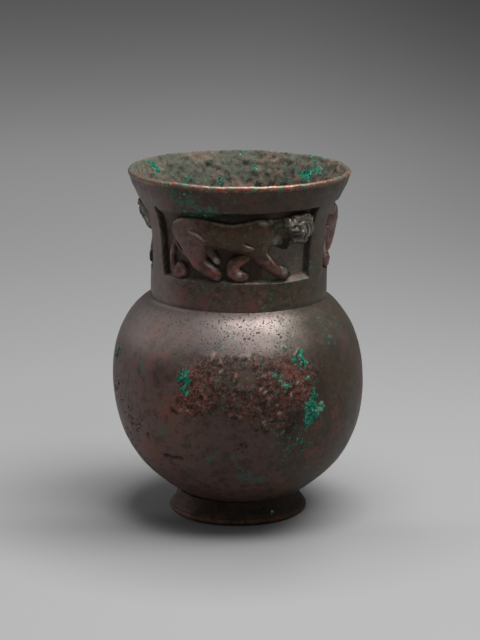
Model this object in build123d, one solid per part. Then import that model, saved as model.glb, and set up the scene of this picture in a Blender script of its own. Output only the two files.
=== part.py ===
from build123d import *

import os
from math import acos, cos, degrees, radians, sin, sqrt, tan

# A round-bellied bronze jar: a shell bowl on a flared ring foot, and a flared neck collar
# whose three sunk panels each hold a walking lion with its head in high relief.
# Millimetres, +Z up, origin at the centre of the foot's resting face, front panel towards -Y.
# An azimuth is 0 at the front and grows towards +X. Sections are drawn as (radius, height).

# Bowl
belly_radius = 58.7
belly_height = 64.25
base_clearance = 2.25
shoulder_fullness = 2.5
bowl_wall = 2.6
shoulder_wall = 3.6
base_flat_radius = 7.0

# Neck collar
jar_height = 165.0
neck_height = 60.55
neck_radius = 41.2
neck_overhang = 0.4
straight_height = 24.0
flare_radius = 54.0
flare_angle = 24.0
inner_flare_radius = 54.0
inner_flare_angle = 29.0
lip_thickness = 2.6

# Spigot of the bowl inside the collar, with its solder
spigot_height = 10.5
spigot_wall = 2.1
lap_solder = 0.3

# Sunk panels
panel_depth = 2.6
panel_wall = 2.0
panel_rise = 13.6
panel_height = 33.0
front_panel_arc = 107.0
pillar_arc = 20.0

# Foot ring
foot_radius = 31.8
foot_inner_radius = 25.2
foot_waist_radius = 28.8
foot_lip_height = 3.2
foot_lip_round = 0.8
foot_hollow = 1.1
foot_solder_bead = 1.8

# Lion figures
figure_relief = 5.4
figure_side_room = 0.6
figure_top_room = 2.4
head_relief = 7.2
head_joint_percent = 80

# Rivets that hold the figures and heads
rivet_radius = 1.5
rivet_grip = 2.4
rivet_button_radius = 2.8
rivet_button_height = 1.2

# Stations of a lion's limbs: along, up, half width and relief, as percent shares of the
# figure's length, height, height and relief.
barrel_shares = [
    (10.6, 72, 8.5, 37),
    (14, 72.5, 18, 70),
    (22.5, 74, 24.5, 96),
    (36, 75, 20, 89),
    (50, 70.5, 22, 89),
    (64, 72.5, 24.5, 100),
    (75, 73, 23.5, 93),
    (82.5, 72.5, 20, 78),
]
near_hind_leg_shares = [
    (22.5, 67, 21, 93),
    (24.5, 50.5, 20.5, 91),
    (27.5, 35.5, 13, 78),
    (32, 24, 10, 67),
    (37, 15.5, 9, 63),
    (42.5, 8.5, 7, 56),
]
far_hind_leg_shares = [
    (33.5, 50.5, 9, 52),
    (38, 36.5, 7.5, 46),
    (42.5, 27, 6, 39),
]
near_foreleg_shares = [
    (62.5, 54, 19.5, 89),
    (68, 34.5, 14, 81),
    (73, 22, 11, 74),
    (77.5, 14.5, 9, 70),
    (82.5, 12, 7, 59),
]
far_foreleg_shares = [
    (55.5, 44, 9, 52),
    (50.5, 31, 10, 56),
    (50, 18.5, 8.5, 56),
    (53.5, 9, 7, 52),
    (58.5, 7, 5.5, 44),
]
tail_shares = [
    (13, 65.5, 5, 44),
    (9.5, 49.5, 4.5, 43),
    (9.5, 34, 5, 44),
    (12, 19, 6, 52),
]
tail_knob_shares = (16, 14, 12.5, 60)
limbs = [
    near_hind_leg_shares,
    far_hind_leg_shares,
    near_foreleg_shares,
    far_foreleg_shares,
    tail_shares,
]

# Stations of a lion's head, with their relief as a percent share of the head's own.
skull_shares = [
    (79, 73, 19, 64),
    (84.5, 74.5, 21, 86),
    (90.5, 75, 22, 100),
    (96, 74.5, 18.5, 89),
    (99.5, 73, 10, 58),
]
ruff_shares = [
    (83, 47, 5, 40),
    (86, 57.5, 10.5, 64),
    (89.5, 68.5, 14.5, 75),
]
muzzle_shares = (91.5, 63, 12, 100)
ear_shares = [(85, 89, 6, 80), (96, 88, 6, 76)]

# Where the rivets stand, as percent shares of the figure's length and height.
body_rivet_shares = [(22.5, 72), (64, 72)]
head_rivet_shares = (90.5, 74)


def shoulder_share(out):
    """Share of the shoulder's rise at a share of its greatest radius."""
    return (1 - out**shoulder_fullness) ** (1 / shoulder_fullness)


seat_radius = neck_radius - neck_overhang
seat_height = jar_height - neck_height
shoulder_rise = (seat_height - belly_height) / shoulder_share(seat_radius / belly_radius)
belly_drop = belly_height - base_clearance


def underside_at(radius):
    """Height of the bowl's underside at a radius."""
    return belly_height - belly_drop * sqrt(1 - (radius / belly_radius) ** 2)


bore_radius = neck_radius - panel_depth - panel_wall
spigot_radius = bore_radius + spigot_wall
spigot_top = seat_height + spigot_height
lap_radius = spigot_radius + lap_solder
lap_top = spigot_top + lap_solder
flare_start = seat_height + straight_height
panel_bottom = seat_height + panel_rise
panel_top = panel_bottom + panel_height
panel_floor_radius = neck_radius - panel_depth
side_panel_arc = (360 - front_panel_arc - 3 * pillar_arc) / 2
side_panel_azimuth = front_panel_arc / 2 + pillar_arc + side_panel_arc / 2
lip_round = lip_thickness / 2
lip_height = jar_height - lip_round
figure_height = panel_height - figure_top_room
beyond = 2 * jar_height


def turned(section, arc=360.0, azimuth=0.0):
    """Solid turned from a section about the jar's axis, its middle at an azimuth."""
    solid = revolve(Plane.XZ * section, Axis.Z, revolution_arc=arc)
    return Rot(0, 0, azimuth - 90 - arc / 2) * solid


def shoulder_curve(side_inset, top_inset, last_radius, steps=8):
    """Shoulder from the widest circle up to a radius, inset from the outer face."""
    half_width = belly_radius - side_inset
    rise = shoulder_rise - top_inset
    last_out = last_radius / half_width
    last_up = shoulder_share(last_out)
    points = []
    for step in range(steps + 1):
        up = last_up * step / steps
        points.append((half_width * shoulder_share(up), belly_height + rise * up))
    end_slope = -half_width / rise * (last_up / last_out) ** (shoulder_fullness - 1)
    return Spline(points, tangents=[(0, 1), (end_slope, 1)])


def belly_curve(inset, steps=8):
    """Lower half of the bowl, from the flat under it out to the widest circle."""
    width = belly_radius - inset
    drop = belly_drop - inset
    sweep = acos(base_flat_radius / width)
    points = []
    for step in range(steps + 1):
        turn = sweep * (1 - step / steps)
        points.append((width * cos(turn), belly_height - drop * sin(turn)))
    start_slope = (width * sin(sweep), drop * cos(sweep))
    return Spline(points, tangents=[start_slope, (0, 1)])


def make_bowl():
    """Shell with a closed bottom, a seat for the collar and an upright spigot inside it."""
    outer_belly = belly_curve(0)
    inner_belly = belly_curve(bowl_wall)
    outer_shoulder = shoulder_curve(0, 0, seat_radius)
    inner_shoulder = shoulder_curve(bowl_wall, shoulder_wall, bore_radius)
    rim = Polyline(
        outer_shoulder @ 1,
        (spigot_radius, seat_height),
        (spigot_radius, spigot_top),
        (bore_radius, spigot_top),
        inner_shoulder @ 1,
    )
    base = Polyline(
        inner_belly @ 0,
        (0, (inner_belly @ 0).Y),
        (0, (outer_belly @ 0).Y),
        outer_belly @ 0,
    )
    edges = [outer_belly, outer_shoulder, rim, inner_shoulder, inner_belly, base]
    return turned(make_face(edges))


def make_bowl_envelope():
    """The bowl's outside as a filled solid, for cutting what seats against it."""
    outer_belly = belly_curve(0)
    outer_shoulder = shoulder_curve(0, 0, seat_radius)
    close = Polyline(
        outer_shoulder @ 1,
        (0, seat_height),
        (0, (outer_belly @ 0).Y),
        outer_belly @ 0,
    )
    return turned(make_face([outer_belly, outer_shoulder, close]))


def flare_end(inset):
    """Where the flare's round turns into its straight cone, inset from the outer face."""
    turn = radians(flare_angle)
    round_radius = flare_radius + inset
    centre = neck_radius + flare_radius
    return (centre - round_radius * cos(turn), flare_start + round_radius * sin(turn))


def neck_at(height, inset):
    """Radius of the collar's outer face at a height, inset from it."""
    end_radius, end_height = flare_end(inset)
    if height <= flare_start:
        return neck_radius - inset
    if height < end_height:
        rise = height - flare_start
        return neck_radius + flare_radius - sqrt((flare_radius + inset) ** 2 - rise**2)
    return end_radius + (height - end_height) * tan(radians(flare_angle))


def neck_curves(inset, last_height):
    """Straight, round and cone of the collar's outer face, inset from it."""
    end = flare_end(inset)
    middle_height = (flare_start + end[1]) / 2
    middle = (neck_at(middle_height, inset), middle_height)
    start = (neck_radius - inset, flare_start)
    straight = Line((neck_radius - inset, seat_height), start)
    flare = ThreePointArc(start, middle, end)
    cone = Line(end, (neck_at(last_height, inset), last_height))
    return [straight, flare, cone]


def lip_point(centre, angle):
    """Point of the lip's round at an angle from straight outwards."""
    turn = radians(angle)
    return (centre[0] + lip_round * cos(turn), centre[1] + lip_round * sin(turn))


def outer_curves():
    """Outer face of the collar and its rounded lip."""
    turn = radians(flare_angle)
    touch = lip_height - lip_round * sin(turn)
    centre = (neck_at(touch, 0) - lip_round * cos(turn), lip_height)
    outer = neck_curves(0, touch)
    inner_touch = 180 - inner_flare_angle
    middle = lip_point(centre, (inner_touch - flare_angle) / 2)
    lip = ThreePointArc(outer[-1] @ 1, middle, lip_point(centre, inner_touch))
    return [*outer, lip]


def bore_curves(lip_end):
    """Inner face of the collar from the lip down, and the lap over the spigot."""
    turn = radians(inner_flare_angle)
    end_radius = bore_radius + inner_flare_radius * (1 - cos(turn))
    end_height = lip_end.Y - (lip_end.X - end_radius) / tan(turn)
    start_height = end_height - inner_flare_radius * sin(turn)
    middle = (
        bore_radius + inner_flare_radius * (1 - cos(turn / 2)),
        start_height + inner_flare_radius * sin(turn / 2),
    )
    cone = Line(lip_end, (end_radius, end_height))
    flare = ThreePointArc((end_radius, end_height), middle, (bore_radius, start_height))
    lap = Polyline(
        (bore_radius, start_height),
        (bore_radius, lap_top),
        (lap_radius, lap_top),
        (lap_radius, seat_height),
    )
    return [cone, flare, lap]


def make_neck_void():
    """The open space inside the collar, as a solid."""
    lip_end = outer_curves()[-1] @ 1
    bore = bore_curves(lip_end)
    close = Polyline(bore[-1] @ 1, (0, seat_height), (0, lip_end.Y), lip_end)
    return turned(make_face([*bore, close]))


def make_neck_core():
    """The collar filled to the jar's axis, with its panels sunk."""
    outer = outer_curves()
    lip_end = outer[-1] @ 1
    close = Polyline(lip_end, (0, lip_end.Y), (0, seat_height), outer[0] @ 0)
    core = turned(make_face([*outer, close]))
    for azimuth, arc in panels.values():
        core -= turned(panel_section(), arc, azimuth)
    return core


def panel_section():
    """Section of a sunk panel, from its floor outwards."""
    floor = neck_curves(panel_depth, beyond)
    outside = Polyline(floor[-1] @ 1, (beyond, beyond), (beyond, seat_height), floor[0] @ 0)
    band = Polyline(
        (0, panel_bottom),
        (beyond, panel_bottom),
        (beyond, panel_top),
        (0, panel_top),
        close=True,
    )
    return make_face([*floor, outside]) & make_face(band)


def on_panel(panel, along, up, lift):
    """Point over a panel's floor, from shares of the figure's length and height."""
    azimuth, arc = panel
    figure_arc = arc - 2 * degrees(figure_side_room / panel_floor_radius)
    turn = radians(azimuth + figure_arc * (along / 100 - 0.5))
    height = panel_bottom + figure_height * up / 100
    radius = neck_at(height, panel_depth) + lift
    return Vector(radius * sin(turn), -radius * cos(turn), height)


def outwards(point):
    """Level direction from the jar's axis to a point."""
    return Vector(point.X, point.Y, 0).normalized()


def make_limb(panel, stations, relief):
    """Limb through oval sections that stand half out of the panel's floor."""
    points = [on_panel(panel, along, up, 0) for along, up, _, _ in stations]
    sections = []
    for index, (_, _, half_width, share) in enumerate(stations):
        before = points[max(index - 1, 0)]
        after = points[min(index + 1, len(points) - 1)]
        heading = (after - before).normalized()
        sideways = outwards(points[index]).cross(heading).normalized()
        plane = Plane(points[index], x_dir=sideways, z_dir=heading)
        oval = Ellipse(figure_height * half_width / 100, relief * share / 100)
        sections.append(plane * oval)
    return loft(sections)


def make_knob(panel, knob, relief):
    """Ball whose top stands at a share of the relief."""
    along, up, radius_share, share = knob
    radius = figure_height * radius_share / 100
    return Pos(on_panel(panel, along, up, relief * share / 100 - radius)) * Sphere(radius)


def head_joint_plane(panel):
    """Upright plane through the jar's axis where a head meets its body."""
    point = on_panel(panel, head_joint_percent, 0, 0)
    facing = Vector(0, 0, 1).cross(outwards(point))
    return Plane((0, 0, 0), x_dir=(0, 0, 1), z_dir=facing)


def rivet_foot(panel, place):
    """Plane at a rivet's inner end, facing outwards along the jar's radius."""
    inner = on_panel(panel, *place, -panel_wall - rivet_button_height)
    return Plane(inner, z_dir=outwards(inner))


def make_rivet_shank(panel, place):
    """Shank from inside the neck to its grip in the figure."""
    length = rivet_button_height + panel_wall + rivet_grip
    return rivet_foot(panel, place) * extrude(Circle(rivet_radius), length)


def make_rivet(panel, place, neck_void):
    """Shank with a button clenched against the inside of the neck."""
    button = rivet_foot(panel, place) * extrude(Circle(rivet_button_radius), neck_radius)
    return (button & neck_void) + make_rivet_shank(panel, place)


def make_lion_body(panel, neck_core):
    """Barrel, legs and knobbed tail, cut to the panel and drilled for its rivets."""
    barrel = make_limb(panel, barrel_shares, figure_relief)
    body = split(barrel, head_joint_plane(panel), Keep.BOTTOM)
    body += make_knob(panel, tail_knob_shares, figure_relief)
    for stations in limbs:
        body += make_limb(panel, stations, figure_relief)
    body -= neck_core
    for place in body_rivet_shares:
        body -= make_rivet_shank(panel, place)
    return body


def make_lion_head(panel, neck_core, body):
    """Skull, ruff, muzzle and ears, cut where they meet the body and the panel."""
    skull = make_limb(panel, skull_shares, head_relief)
    head = split(skull, head_joint_plane(panel), Keep.TOP)
    head += make_limb(panel, ruff_shares, head_relief)
    for knob in [muzzle_shares, *ear_shares]:
        head += make_knob(panel, knob, head_relief)
    return head - neck_core - body - make_rivet_shank(panel, head_rivet_shares)


def make_foot(bowl_envelope):
    """Flared ring foot with a rounded lip, cut to seat on the bowl's underside."""
    lip_top = (foot_radius - foot_lip_round, foot_lip_height)
    waist = (foot_waist_radius, underside_at(foot_waist_radius))
    middle = ((lip_top[0] + waist[0]) / 2 - foot_hollow, (lip_top[1] + waist[1]) / 2)
    lip = FilletPolyline(
        (foot_inner_radius, 0),
        (foot_radius, 0),
        (foot_radius, foot_lip_height),
        lip_top,
        radius=foot_lip_round / 2,
    )
    side = ThreePointArc(lip_top, middle, waist)
    close = Polyline(
        waist,
        (foot_waist_radius, belly_height),
        (foot_inner_radius, belly_height),
        lip @ 0,
    )
    return turned(make_face([lip, side, close])) - bowl_envelope


def make_foot_solder(bowl_envelope, foot):
    """Bead of solder in the corner between the foot's inside and the bowl."""
    corner = Pos(0, 0, underside_at(foot_inner_radius))
    return corner * Torus(foot_inner_radius, foot_solder_bead) - bowl_envelope - foot


def make_neck_solder():
    """Solder between the spigot and the collar's lap, and over the spigot's end."""
    section = Polyline(
        (spigot_radius, seat_height),
        (lap_radius, seat_height),
        (lap_radius, lap_top),
        (bore_radius, lap_top),
        (bore_radius, spigot_top),
        (spigot_radius, spigot_top),
        close=True,
    )
    return turned(make_face(section))


panels = {
    "front": (0.0, front_panel_arc),
    "right": (side_panel_azimuth, side_panel_arc),
    "left": (-side_panel_azimuth, side_panel_arc),
}

bowl_envelope = make_bowl_envelope()
neck_core = make_neck_core()
neck_void = make_neck_void()
foot_ring = make_foot(bowl_envelope)

nodes = {
    "bowl": make_bowl(),
    "foot_ring": foot_ring,
    "foot_solder": make_foot_solder(bowl_envelope, foot_ring),
    "neck_solder": make_neck_solder(),
}
neck_collar = neck_core - neck_void
figure_rivets = []
head_rivets = []
for side, panel in panels.items():
    body = make_lion_body(panel, neck_core)
    nodes[f"{side}_lion"] = body
    nodes[f"{side}_lion_head"] = make_lion_head(panel, neck_core, body)
    for place in body_rivet_shares:
        figure_rivets.append(make_rivet(panel, place, neck_void))
    head_rivets.append(make_rivet(panel, head_rivet_shares, neck_void))
    for place in [*body_rivet_shares, head_rivet_shares]:
        neck_collar -= make_rivet_shank(panel, place)
nodes["neck_collar"] = neck_collar
nodes["figure_rivets"] = Compound(children=figure_rivets)
nodes["head_rivets"] = Compound(children=head_rivets)

os.makedirs("parts", exist_ok=True)
for name, shape in nodes.items():
    export_step(shape, f"parts/{name}.step")
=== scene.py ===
from math import cos, degrees, pi, radians, sin, tan

import bmesh
import bpy
import numpy as np
from mathutils import Matrix, Vector, noise


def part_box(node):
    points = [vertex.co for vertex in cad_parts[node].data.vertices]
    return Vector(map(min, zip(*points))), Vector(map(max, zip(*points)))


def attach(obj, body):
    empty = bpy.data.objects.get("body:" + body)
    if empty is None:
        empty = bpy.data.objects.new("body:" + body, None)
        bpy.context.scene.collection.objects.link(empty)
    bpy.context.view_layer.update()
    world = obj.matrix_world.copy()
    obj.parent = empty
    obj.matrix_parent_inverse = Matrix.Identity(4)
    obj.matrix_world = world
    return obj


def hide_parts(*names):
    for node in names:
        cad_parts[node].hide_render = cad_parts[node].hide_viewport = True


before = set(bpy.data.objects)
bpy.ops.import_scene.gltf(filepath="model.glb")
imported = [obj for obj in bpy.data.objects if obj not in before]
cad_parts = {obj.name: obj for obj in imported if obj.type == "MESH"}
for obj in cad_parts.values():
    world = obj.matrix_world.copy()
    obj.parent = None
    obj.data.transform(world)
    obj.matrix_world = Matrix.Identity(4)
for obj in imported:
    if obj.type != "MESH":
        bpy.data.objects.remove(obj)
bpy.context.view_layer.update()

# A corroded bronze jar with lions on its neck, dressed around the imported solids.
# Shapes are worked out in millimetres and turned to metres when a mesh is made.
# An azimuth is 0 at the front (-Y) and grows towards +X, in degrees.

MM = 0.001


def node_box(node):
    """Lowest and highest corner of a solid, in millimetres."""
    low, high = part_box(node)
    return low / MM, high / MM


collar_low, collar_high = node_box("neck_collar")
bowl_low, bowl_high = node_box("bowl")
foot_high = node_box("foot_ring")[1]

# Bowl sizes
belly_radius = bowl_high.x
belly_height = 64.25
base_height = bowl_low.z
shoulder_fullness = 2.5
bowl_wall = 2.6
shoulder_wall = 3.6

# Neck collar sizes
jar_height = collar_high.z
seat_height = collar_low.z
neck_radius = 41.2
seat_radius = 40.8
straight_height = 24.0
flare_radius = 54.0
flare_angle = 24.0
inner_flare_radius = 54.0
inner_flare_angle = 29.0
lip_round = 1.3
lap_radius = 39.0
lap_height = 10.8
spigot_radius = 38.7
spigot_height = 10.5
bore_radius = 36.6

# Sunk panels: azimuth of the middle and arc
panels = {"front": (0.0, 107.0), "right": (121.75, 96.5), "left": (-121.75, 96.5)}
panel_depth = 2.6
panel_height = 33.0
frame_height = 13.6
figure_side_room = 0.6

# Foot ring sizes
foot_radius = foot_high.x
foot_inner_radius = 25.2
foot_waist_radius = 28.8
foot_lip_height = 3.2
foot_lip_round = 0.8
foot_hollow = 1.1


def shoulder_share(out):
    """Share of the shoulder's rise at a share of its greatest radius."""
    return (1 - out**shoulder_fullness) ** (1 / shoulder_fullness)


shoulder_rise = (seat_height - belly_height) / shoulder_share(seat_radius / belly_radius)
belly_drop = belly_height - base_height
flare_start = seat_height + straight_height
lap_top = seat_height + lap_height
spigot_top = seat_height + spigot_height
panel_bottom = seat_height + frame_height
panel_top = panel_bottom + panel_height


# Lines, noise and masks

# Noise with the next seed is read this many lumps further on
seed_shift = 17.3
# Shakes that make patches ragged: the size of their lumps and how far they move a point
slow_lump = 5.0
slow_shake = 3.0
quick_lump = 1.5
quick_shake = 1.3


def blend_step(low, high, values):
    """Smooth step from 0 at low to 1 at high."""
    share = np.clip((values - low) / (high - low), 0, 1)
    return share * share * (3 - 2 * share)


def evenly(points, gap):
    """Points along a line at an even gap."""
    points = np.array(points, float)
    runs = np.r_[0, np.cumsum(np.hypot(*np.diff(points, axis=0).T))]
    stops = np.linspace(0, runs[-1], max(2, round(runs[-1] / gap) + 1))
    return np.column_stack([np.interp(stops, runs, points[:, axis]) for axis in range(2)])


def grain(points, size, octaves, seed):
    """Smooth noise of about -1 to 1 whose lumps have a size in millimetres."""
    shifted = points / size + seed_shift * seed
    return np.array([noise.fractal(place, 1.0, 2.0, octaves) for place in shifted.tolist()])


def azimuth_of(points):
    """Azimuth of each point about the jar's axis, in degrees."""
    return np.degrees(np.arctan2(points[:, 0], -points[:, 1]))


def turn_between(azimuths, middle):
    """Signed turn from a middle azimuth to each azimuth, in degrees."""
    return (azimuths - middle + 180) % 360 - 180


def patch(points, azimuth, height, size, squeeze=1.0):
    """1 in the middle of a patch on the wall, a half at its edge and 0 at twice its size."""
    radius = np.hypot(points[:, 0], points[:, 1])
    across = np.radians(turn_between(azimuth_of(points), azimuth)) * radius
    away = np.hypot(across * squeeze, points[:, 2] - height)
    return np.clip(1 - away / (2 * size), 0, 1)


def patches(points, places):
    """Greatest of many patches, each given as azimuth, height, size and perhaps squeeze."""
    found = np.zeros(len(points))
    for place in places:
        found = np.maximum(found, patch(points, *place))
    return found


def plates(points, size, seed):
    """Plates of a broken crust: how far in from a plate's edge, and each plate's number of 0 to 1."""
    gaps = []
    numbers = []
    for place in (points / size + seed_shift * seed).tolist():
        distances, middles = noise.voronoi(place)
        gaps.append(distances[1] - distances[0])
        numbers.append(0.5 + 0.5 * noise.cell(middles[0]))
    return np.array(gaps), np.array(numbers)


def ragged(points, seed):
    """Points shaken so that the patches found with them get ragged edges."""
    shakes = []
    for axis in range(3):
        slow = grain(points, slow_lump, 2, seed + axis)
        quick = grain(points, quick_lump, 2, seed + 3 + axis)
        shakes.append(slow_shake * slow + quick_shake * quick)
    return points + np.column_stack(shakes)


def chain_distance(across, up, stops):
    """Distance from points to a line through stops on a flat sheet, and the share along it."""
    nearest = np.full(across.shape, np.inf)
    along = np.zeros(across.shape)
    pairs = list(zip(stops, stops[1:]))
    for number, ((x0, y0), (x1, y1)) in enumerate(pairs):
        run = max((x1 - x0) ** 2 + (y1 - y0) ** 2, 1e-9)
        share = np.clip(((across - x0) * (x1 - x0) + (up - y0) * (y1 - y0)) / run, 0, 1)
        away = np.hypot(across - x0 - share * (x1 - x0), up - y0 - share * (y1 - y0))
        along = np.where(away < nearest, (number + share) / len(pairs), along)
        nearest = np.minimum(nearest, away)
    return nearest, along


# Meshes

# Corners closer than this are made one
weld_gap = 0.001


def turned(profile, steps, closed):
    """Mesh turned about the jar's axis: an eighth is spun, then doubled three times."""
    mesh = bmesh.new()
    corners = [mesh.verts.new((radius, 0, height)) for radius, height in profile]
    ends = corners[1:] + corners[:1] if closed else corners[1:]
    edges = [mesh.edges.new(pair) for pair in zip(corners, ends)]
    eighth = pi / 4
    bmesh.ops.spin(
        mesh,
        geom=corners + edges,
        cent=(0, 0, 0),
        axis=(0, 0, 1),
        angle=eighth,
        steps=steps // 8,
    )
    for doubling in range(3):
        copy = bmesh.ops.duplicate(mesh, geom=mesh.verts[:] + mesh.edges[:] + mesh.faces[:])
        copied = [part for part in copy["geom"] if isinstance(part, bmesh.types.BMVert)]
        turn = Matrix.Rotation(eighth * 2**doubling, 3, "Z")
        bmesh.ops.rotate(mesh, verts=copied, cent=(0, 0, 0), matrix=turn)
    bmesh.ops.remove_doubles(mesh, verts=mesh.verts, dist=weld_gap)
    bmesh.ops.recalc_face_normals(mesh, faces=mesh.faces)
    return mesh


def read_points(mesh):
    """Places and outward directions of a mesh's vertices."""
    count = len(mesh.vertices)
    places = np.empty(count * 3)
    mesh.vertices.foreach_get("co", places)
    facing = np.empty(count * 3)
    mesh.vertex_normals.foreach_get("vector", facing)
    return places.reshape(-1, 3), facing.reshape(-1, 3)


def finish_piece(name, built, shape, material, node):
    """Object from a built mesh, moved by its shape function, in place of a solid."""
    mesh = bpy.data.meshes.new(name)
    built.to_mesh(mesh)
    built.free()
    points, facing = read_points(mesh)
    moved, masks = shape(points, facing)
    mesh.vertices.foreach_set("co", (moved * MM).ravel())
    for mask_name, values in masks.items():
        layer = mesh.attributes.new(mask_name, "FLOAT", "POINT")
        layer.data.foreach_set("value", np.clip(values, 0, 1).astype(np.float32))
    mesh.update()
    mesh.shade_smooth()
    mesh.materials.append(material)
    piece = bpy.data.objects.new(name, mesh)
    bpy.context.scene.collection.objects.link(piece)
    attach(piece, "root")
    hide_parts(node)


# Shader building

class Amount:
    """A number that changes over a surface: arithmetic on it adds Math nodes."""

    def __init__(self, finish, socket):
        self.finish = finish
        self.socket = socket

    def combine(self, operation, first, second):
        settings = {"operation": operation}
        return Amount(self.finish, self.finish.node("Math", settings, {0: first, 1: second})[0])

    def __add__(self, other):
        return self.combine("ADD", self, other)

    def __radd__(self, other):
        return self.combine("ADD", other, self)

    def __sub__(self, other):
        return self.combine("SUBTRACT", self, other)

    def __rsub__(self, other):
        return self.combine("SUBTRACT", other, self)

    def __mul__(self, other):
        return self.combine("MULTIPLY", self, other)

    def __rmul__(self, other):
        return self.combine("MULTIPLY", other, self)

    def __truediv__(self, other):
        return self.combine("DIVIDE", self, other)

    def between(self, low, high):
        """Smooth step from 0 at low to 1 at high."""
        inputs = {"Value": self, "From Min": low, "From Max": high}
        made = self.finish.node("MapRange", {"interpolation_type": "SMOOTHSTEP"}, inputs)
        return Amount(self.finish, made[0])

    def larger(self, other):
        """The larger of two numbers."""
        return self.combine("MAXIMUM", self, other)


class Finish:
    """A material and its nodes."""

    def __init__(self, name):
        self.material = bpy.data.materials.new(name)
        self.material.use_nodes = True
        self.tree = self.material.node_tree
        self.tree.nodes.clear()
        self.place = self.node("TexCoord", {}, {})["Object"]

    def node(self, kind, settings, inputs):
        """Outputs of a new node with its settings and the values or links of its sockets."""
        made = self.tree.nodes.new("ShaderNode" + kind)
        for name, setting in settings.items():
            setattr(made, name, setting)
        for name, value in inputs.items():
            source = value.socket if isinstance(value, Amount) else value
            if isinstance(source, bpy.types.NodeSocket):
                self.tree.links.new(source, made.inputs[name])
            else:
                made.inputs[name].default_value = source
        return made.outputs

    def noise(self, size, seed, detail=3.0, roughness=0.55):
        """Noise of 0 to 1 whose lumps have a size in millimetres."""
        inputs = {
            "Vector": self.place,
            "W": float(seed),
            "Scale": 1 / (size * MM),
            "Detail": detail,
            "Roughness": roughness,
        }
        return Amount(self, self.node("TexNoise", {"noise_dimensions": "4D"}, inputs)[0])

    def mask(self, name):
        """A piece's own mask."""
        made = self.node("Attribute", {"attribute_name": name}, {})
        return Amount(self, made["Fac"])

    def mix(self, share, first, second):
        """Colour mixed from two colours."""
        made = self.node("Mix", {"data_type": "RGBA"}, {0: share, 6: first, 7: second})
        return made[2]

    def add(self, share, first, second):
        """Colour with a share of a second colour added to it."""
        settings = {"data_type": "RGBA", "blend_type": "ADD"}
        made = self.node("Mix", settings, {0: share, 6: first, 7: second})
        return made[2]

    def bump(self, height, depth):
        """Surface direction from a height of 0 to 1 that stands a depth in millimetres."""
        inputs = {"Height": height, "Distance": depth * MM, "Strength": 1.0}
        return self.node("Bump", {}, inputs)[0]

    def surface(self, inputs):
        """Puts a shader on the material."""
        shader = self.node("BsdfPrincipled", {}, inputs)[0]
        self.node("OutputMaterial", {}, {"Surface": shader})
        return self.material


def colour(red, green, blue):
    """Colour with full alpha."""
    return (red, green, blue, 1.0)


# Patina colours
dark_brown = colour(0.024, 0.014, 0.010)
purple_brown = colour(0.120, 0.070, 0.059)
olive_brown = colour(0.066, 0.046, 0.023)
red_brown = colour(0.150, 0.070, 0.048)
cuprite_red = colour(0.200, 0.058, 0.040)
scab_dark = colour(0.030, 0.018, 0.014)
scab_red = colour(0.215, 0.066, 0.048)
scab_grey = colour(0.130, 0.076, 0.060)
salmon = colour(0.360, 0.160, 0.125)
pale_grit = colour(0.300, 0.290, 0.240)
malachite_green = colour(0.004, 0.060, 0.038)
mid_malachite = colour(0.016, 0.230, 0.140)
pale_malachite = colour(0.260, 0.440, 0.330)
dull_teal = colour(0.036, 0.112, 0.082)
earth = colour(0.225, 0.172, 0.130)
green_earth = colour(0.140, 0.142, 0.112)
dark_earth = colour(0.055, 0.044, 0.034)
# Near black for real pits and for painted shade
pit_and_shade_black = colour(0.007, 0.006, 0.005)
# Pale grey for real wear and crumbs, and for painted highlights on edges
wear_and_highlight_grey = colour(0.43, 0.39, 0.335)
copper_red = colour(0.330, 0.085, 0.038)
pale_copper = colour(0.560, 0.400, 0.320)
bare_bronze = colour(0.97, 0.935, 0.905)
lion_red = colour(0.135, 0.062, 0.052)
lion_olive = colour(0.056, 0.030, 0.012)
lion_warm = colour(0.120, 0.056, 0.025)
head_grey = colour(0.130, 0.112, 0.082)
head_warm = colour(0.170, 0.140, 0.100)
solder_dark = colour(0.10, 0.095, 0.085)
solder_pale = colour(0.24, 0.225, 0.20)


# How much bare metal the most polished places show
polish_strength = 0.228
# Share of light that the dull skin sends back, how it bends light and how deep its grain is
skin_reflection = 0.035
skin_bend = 1.33
skin_depth = 0.2


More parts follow.
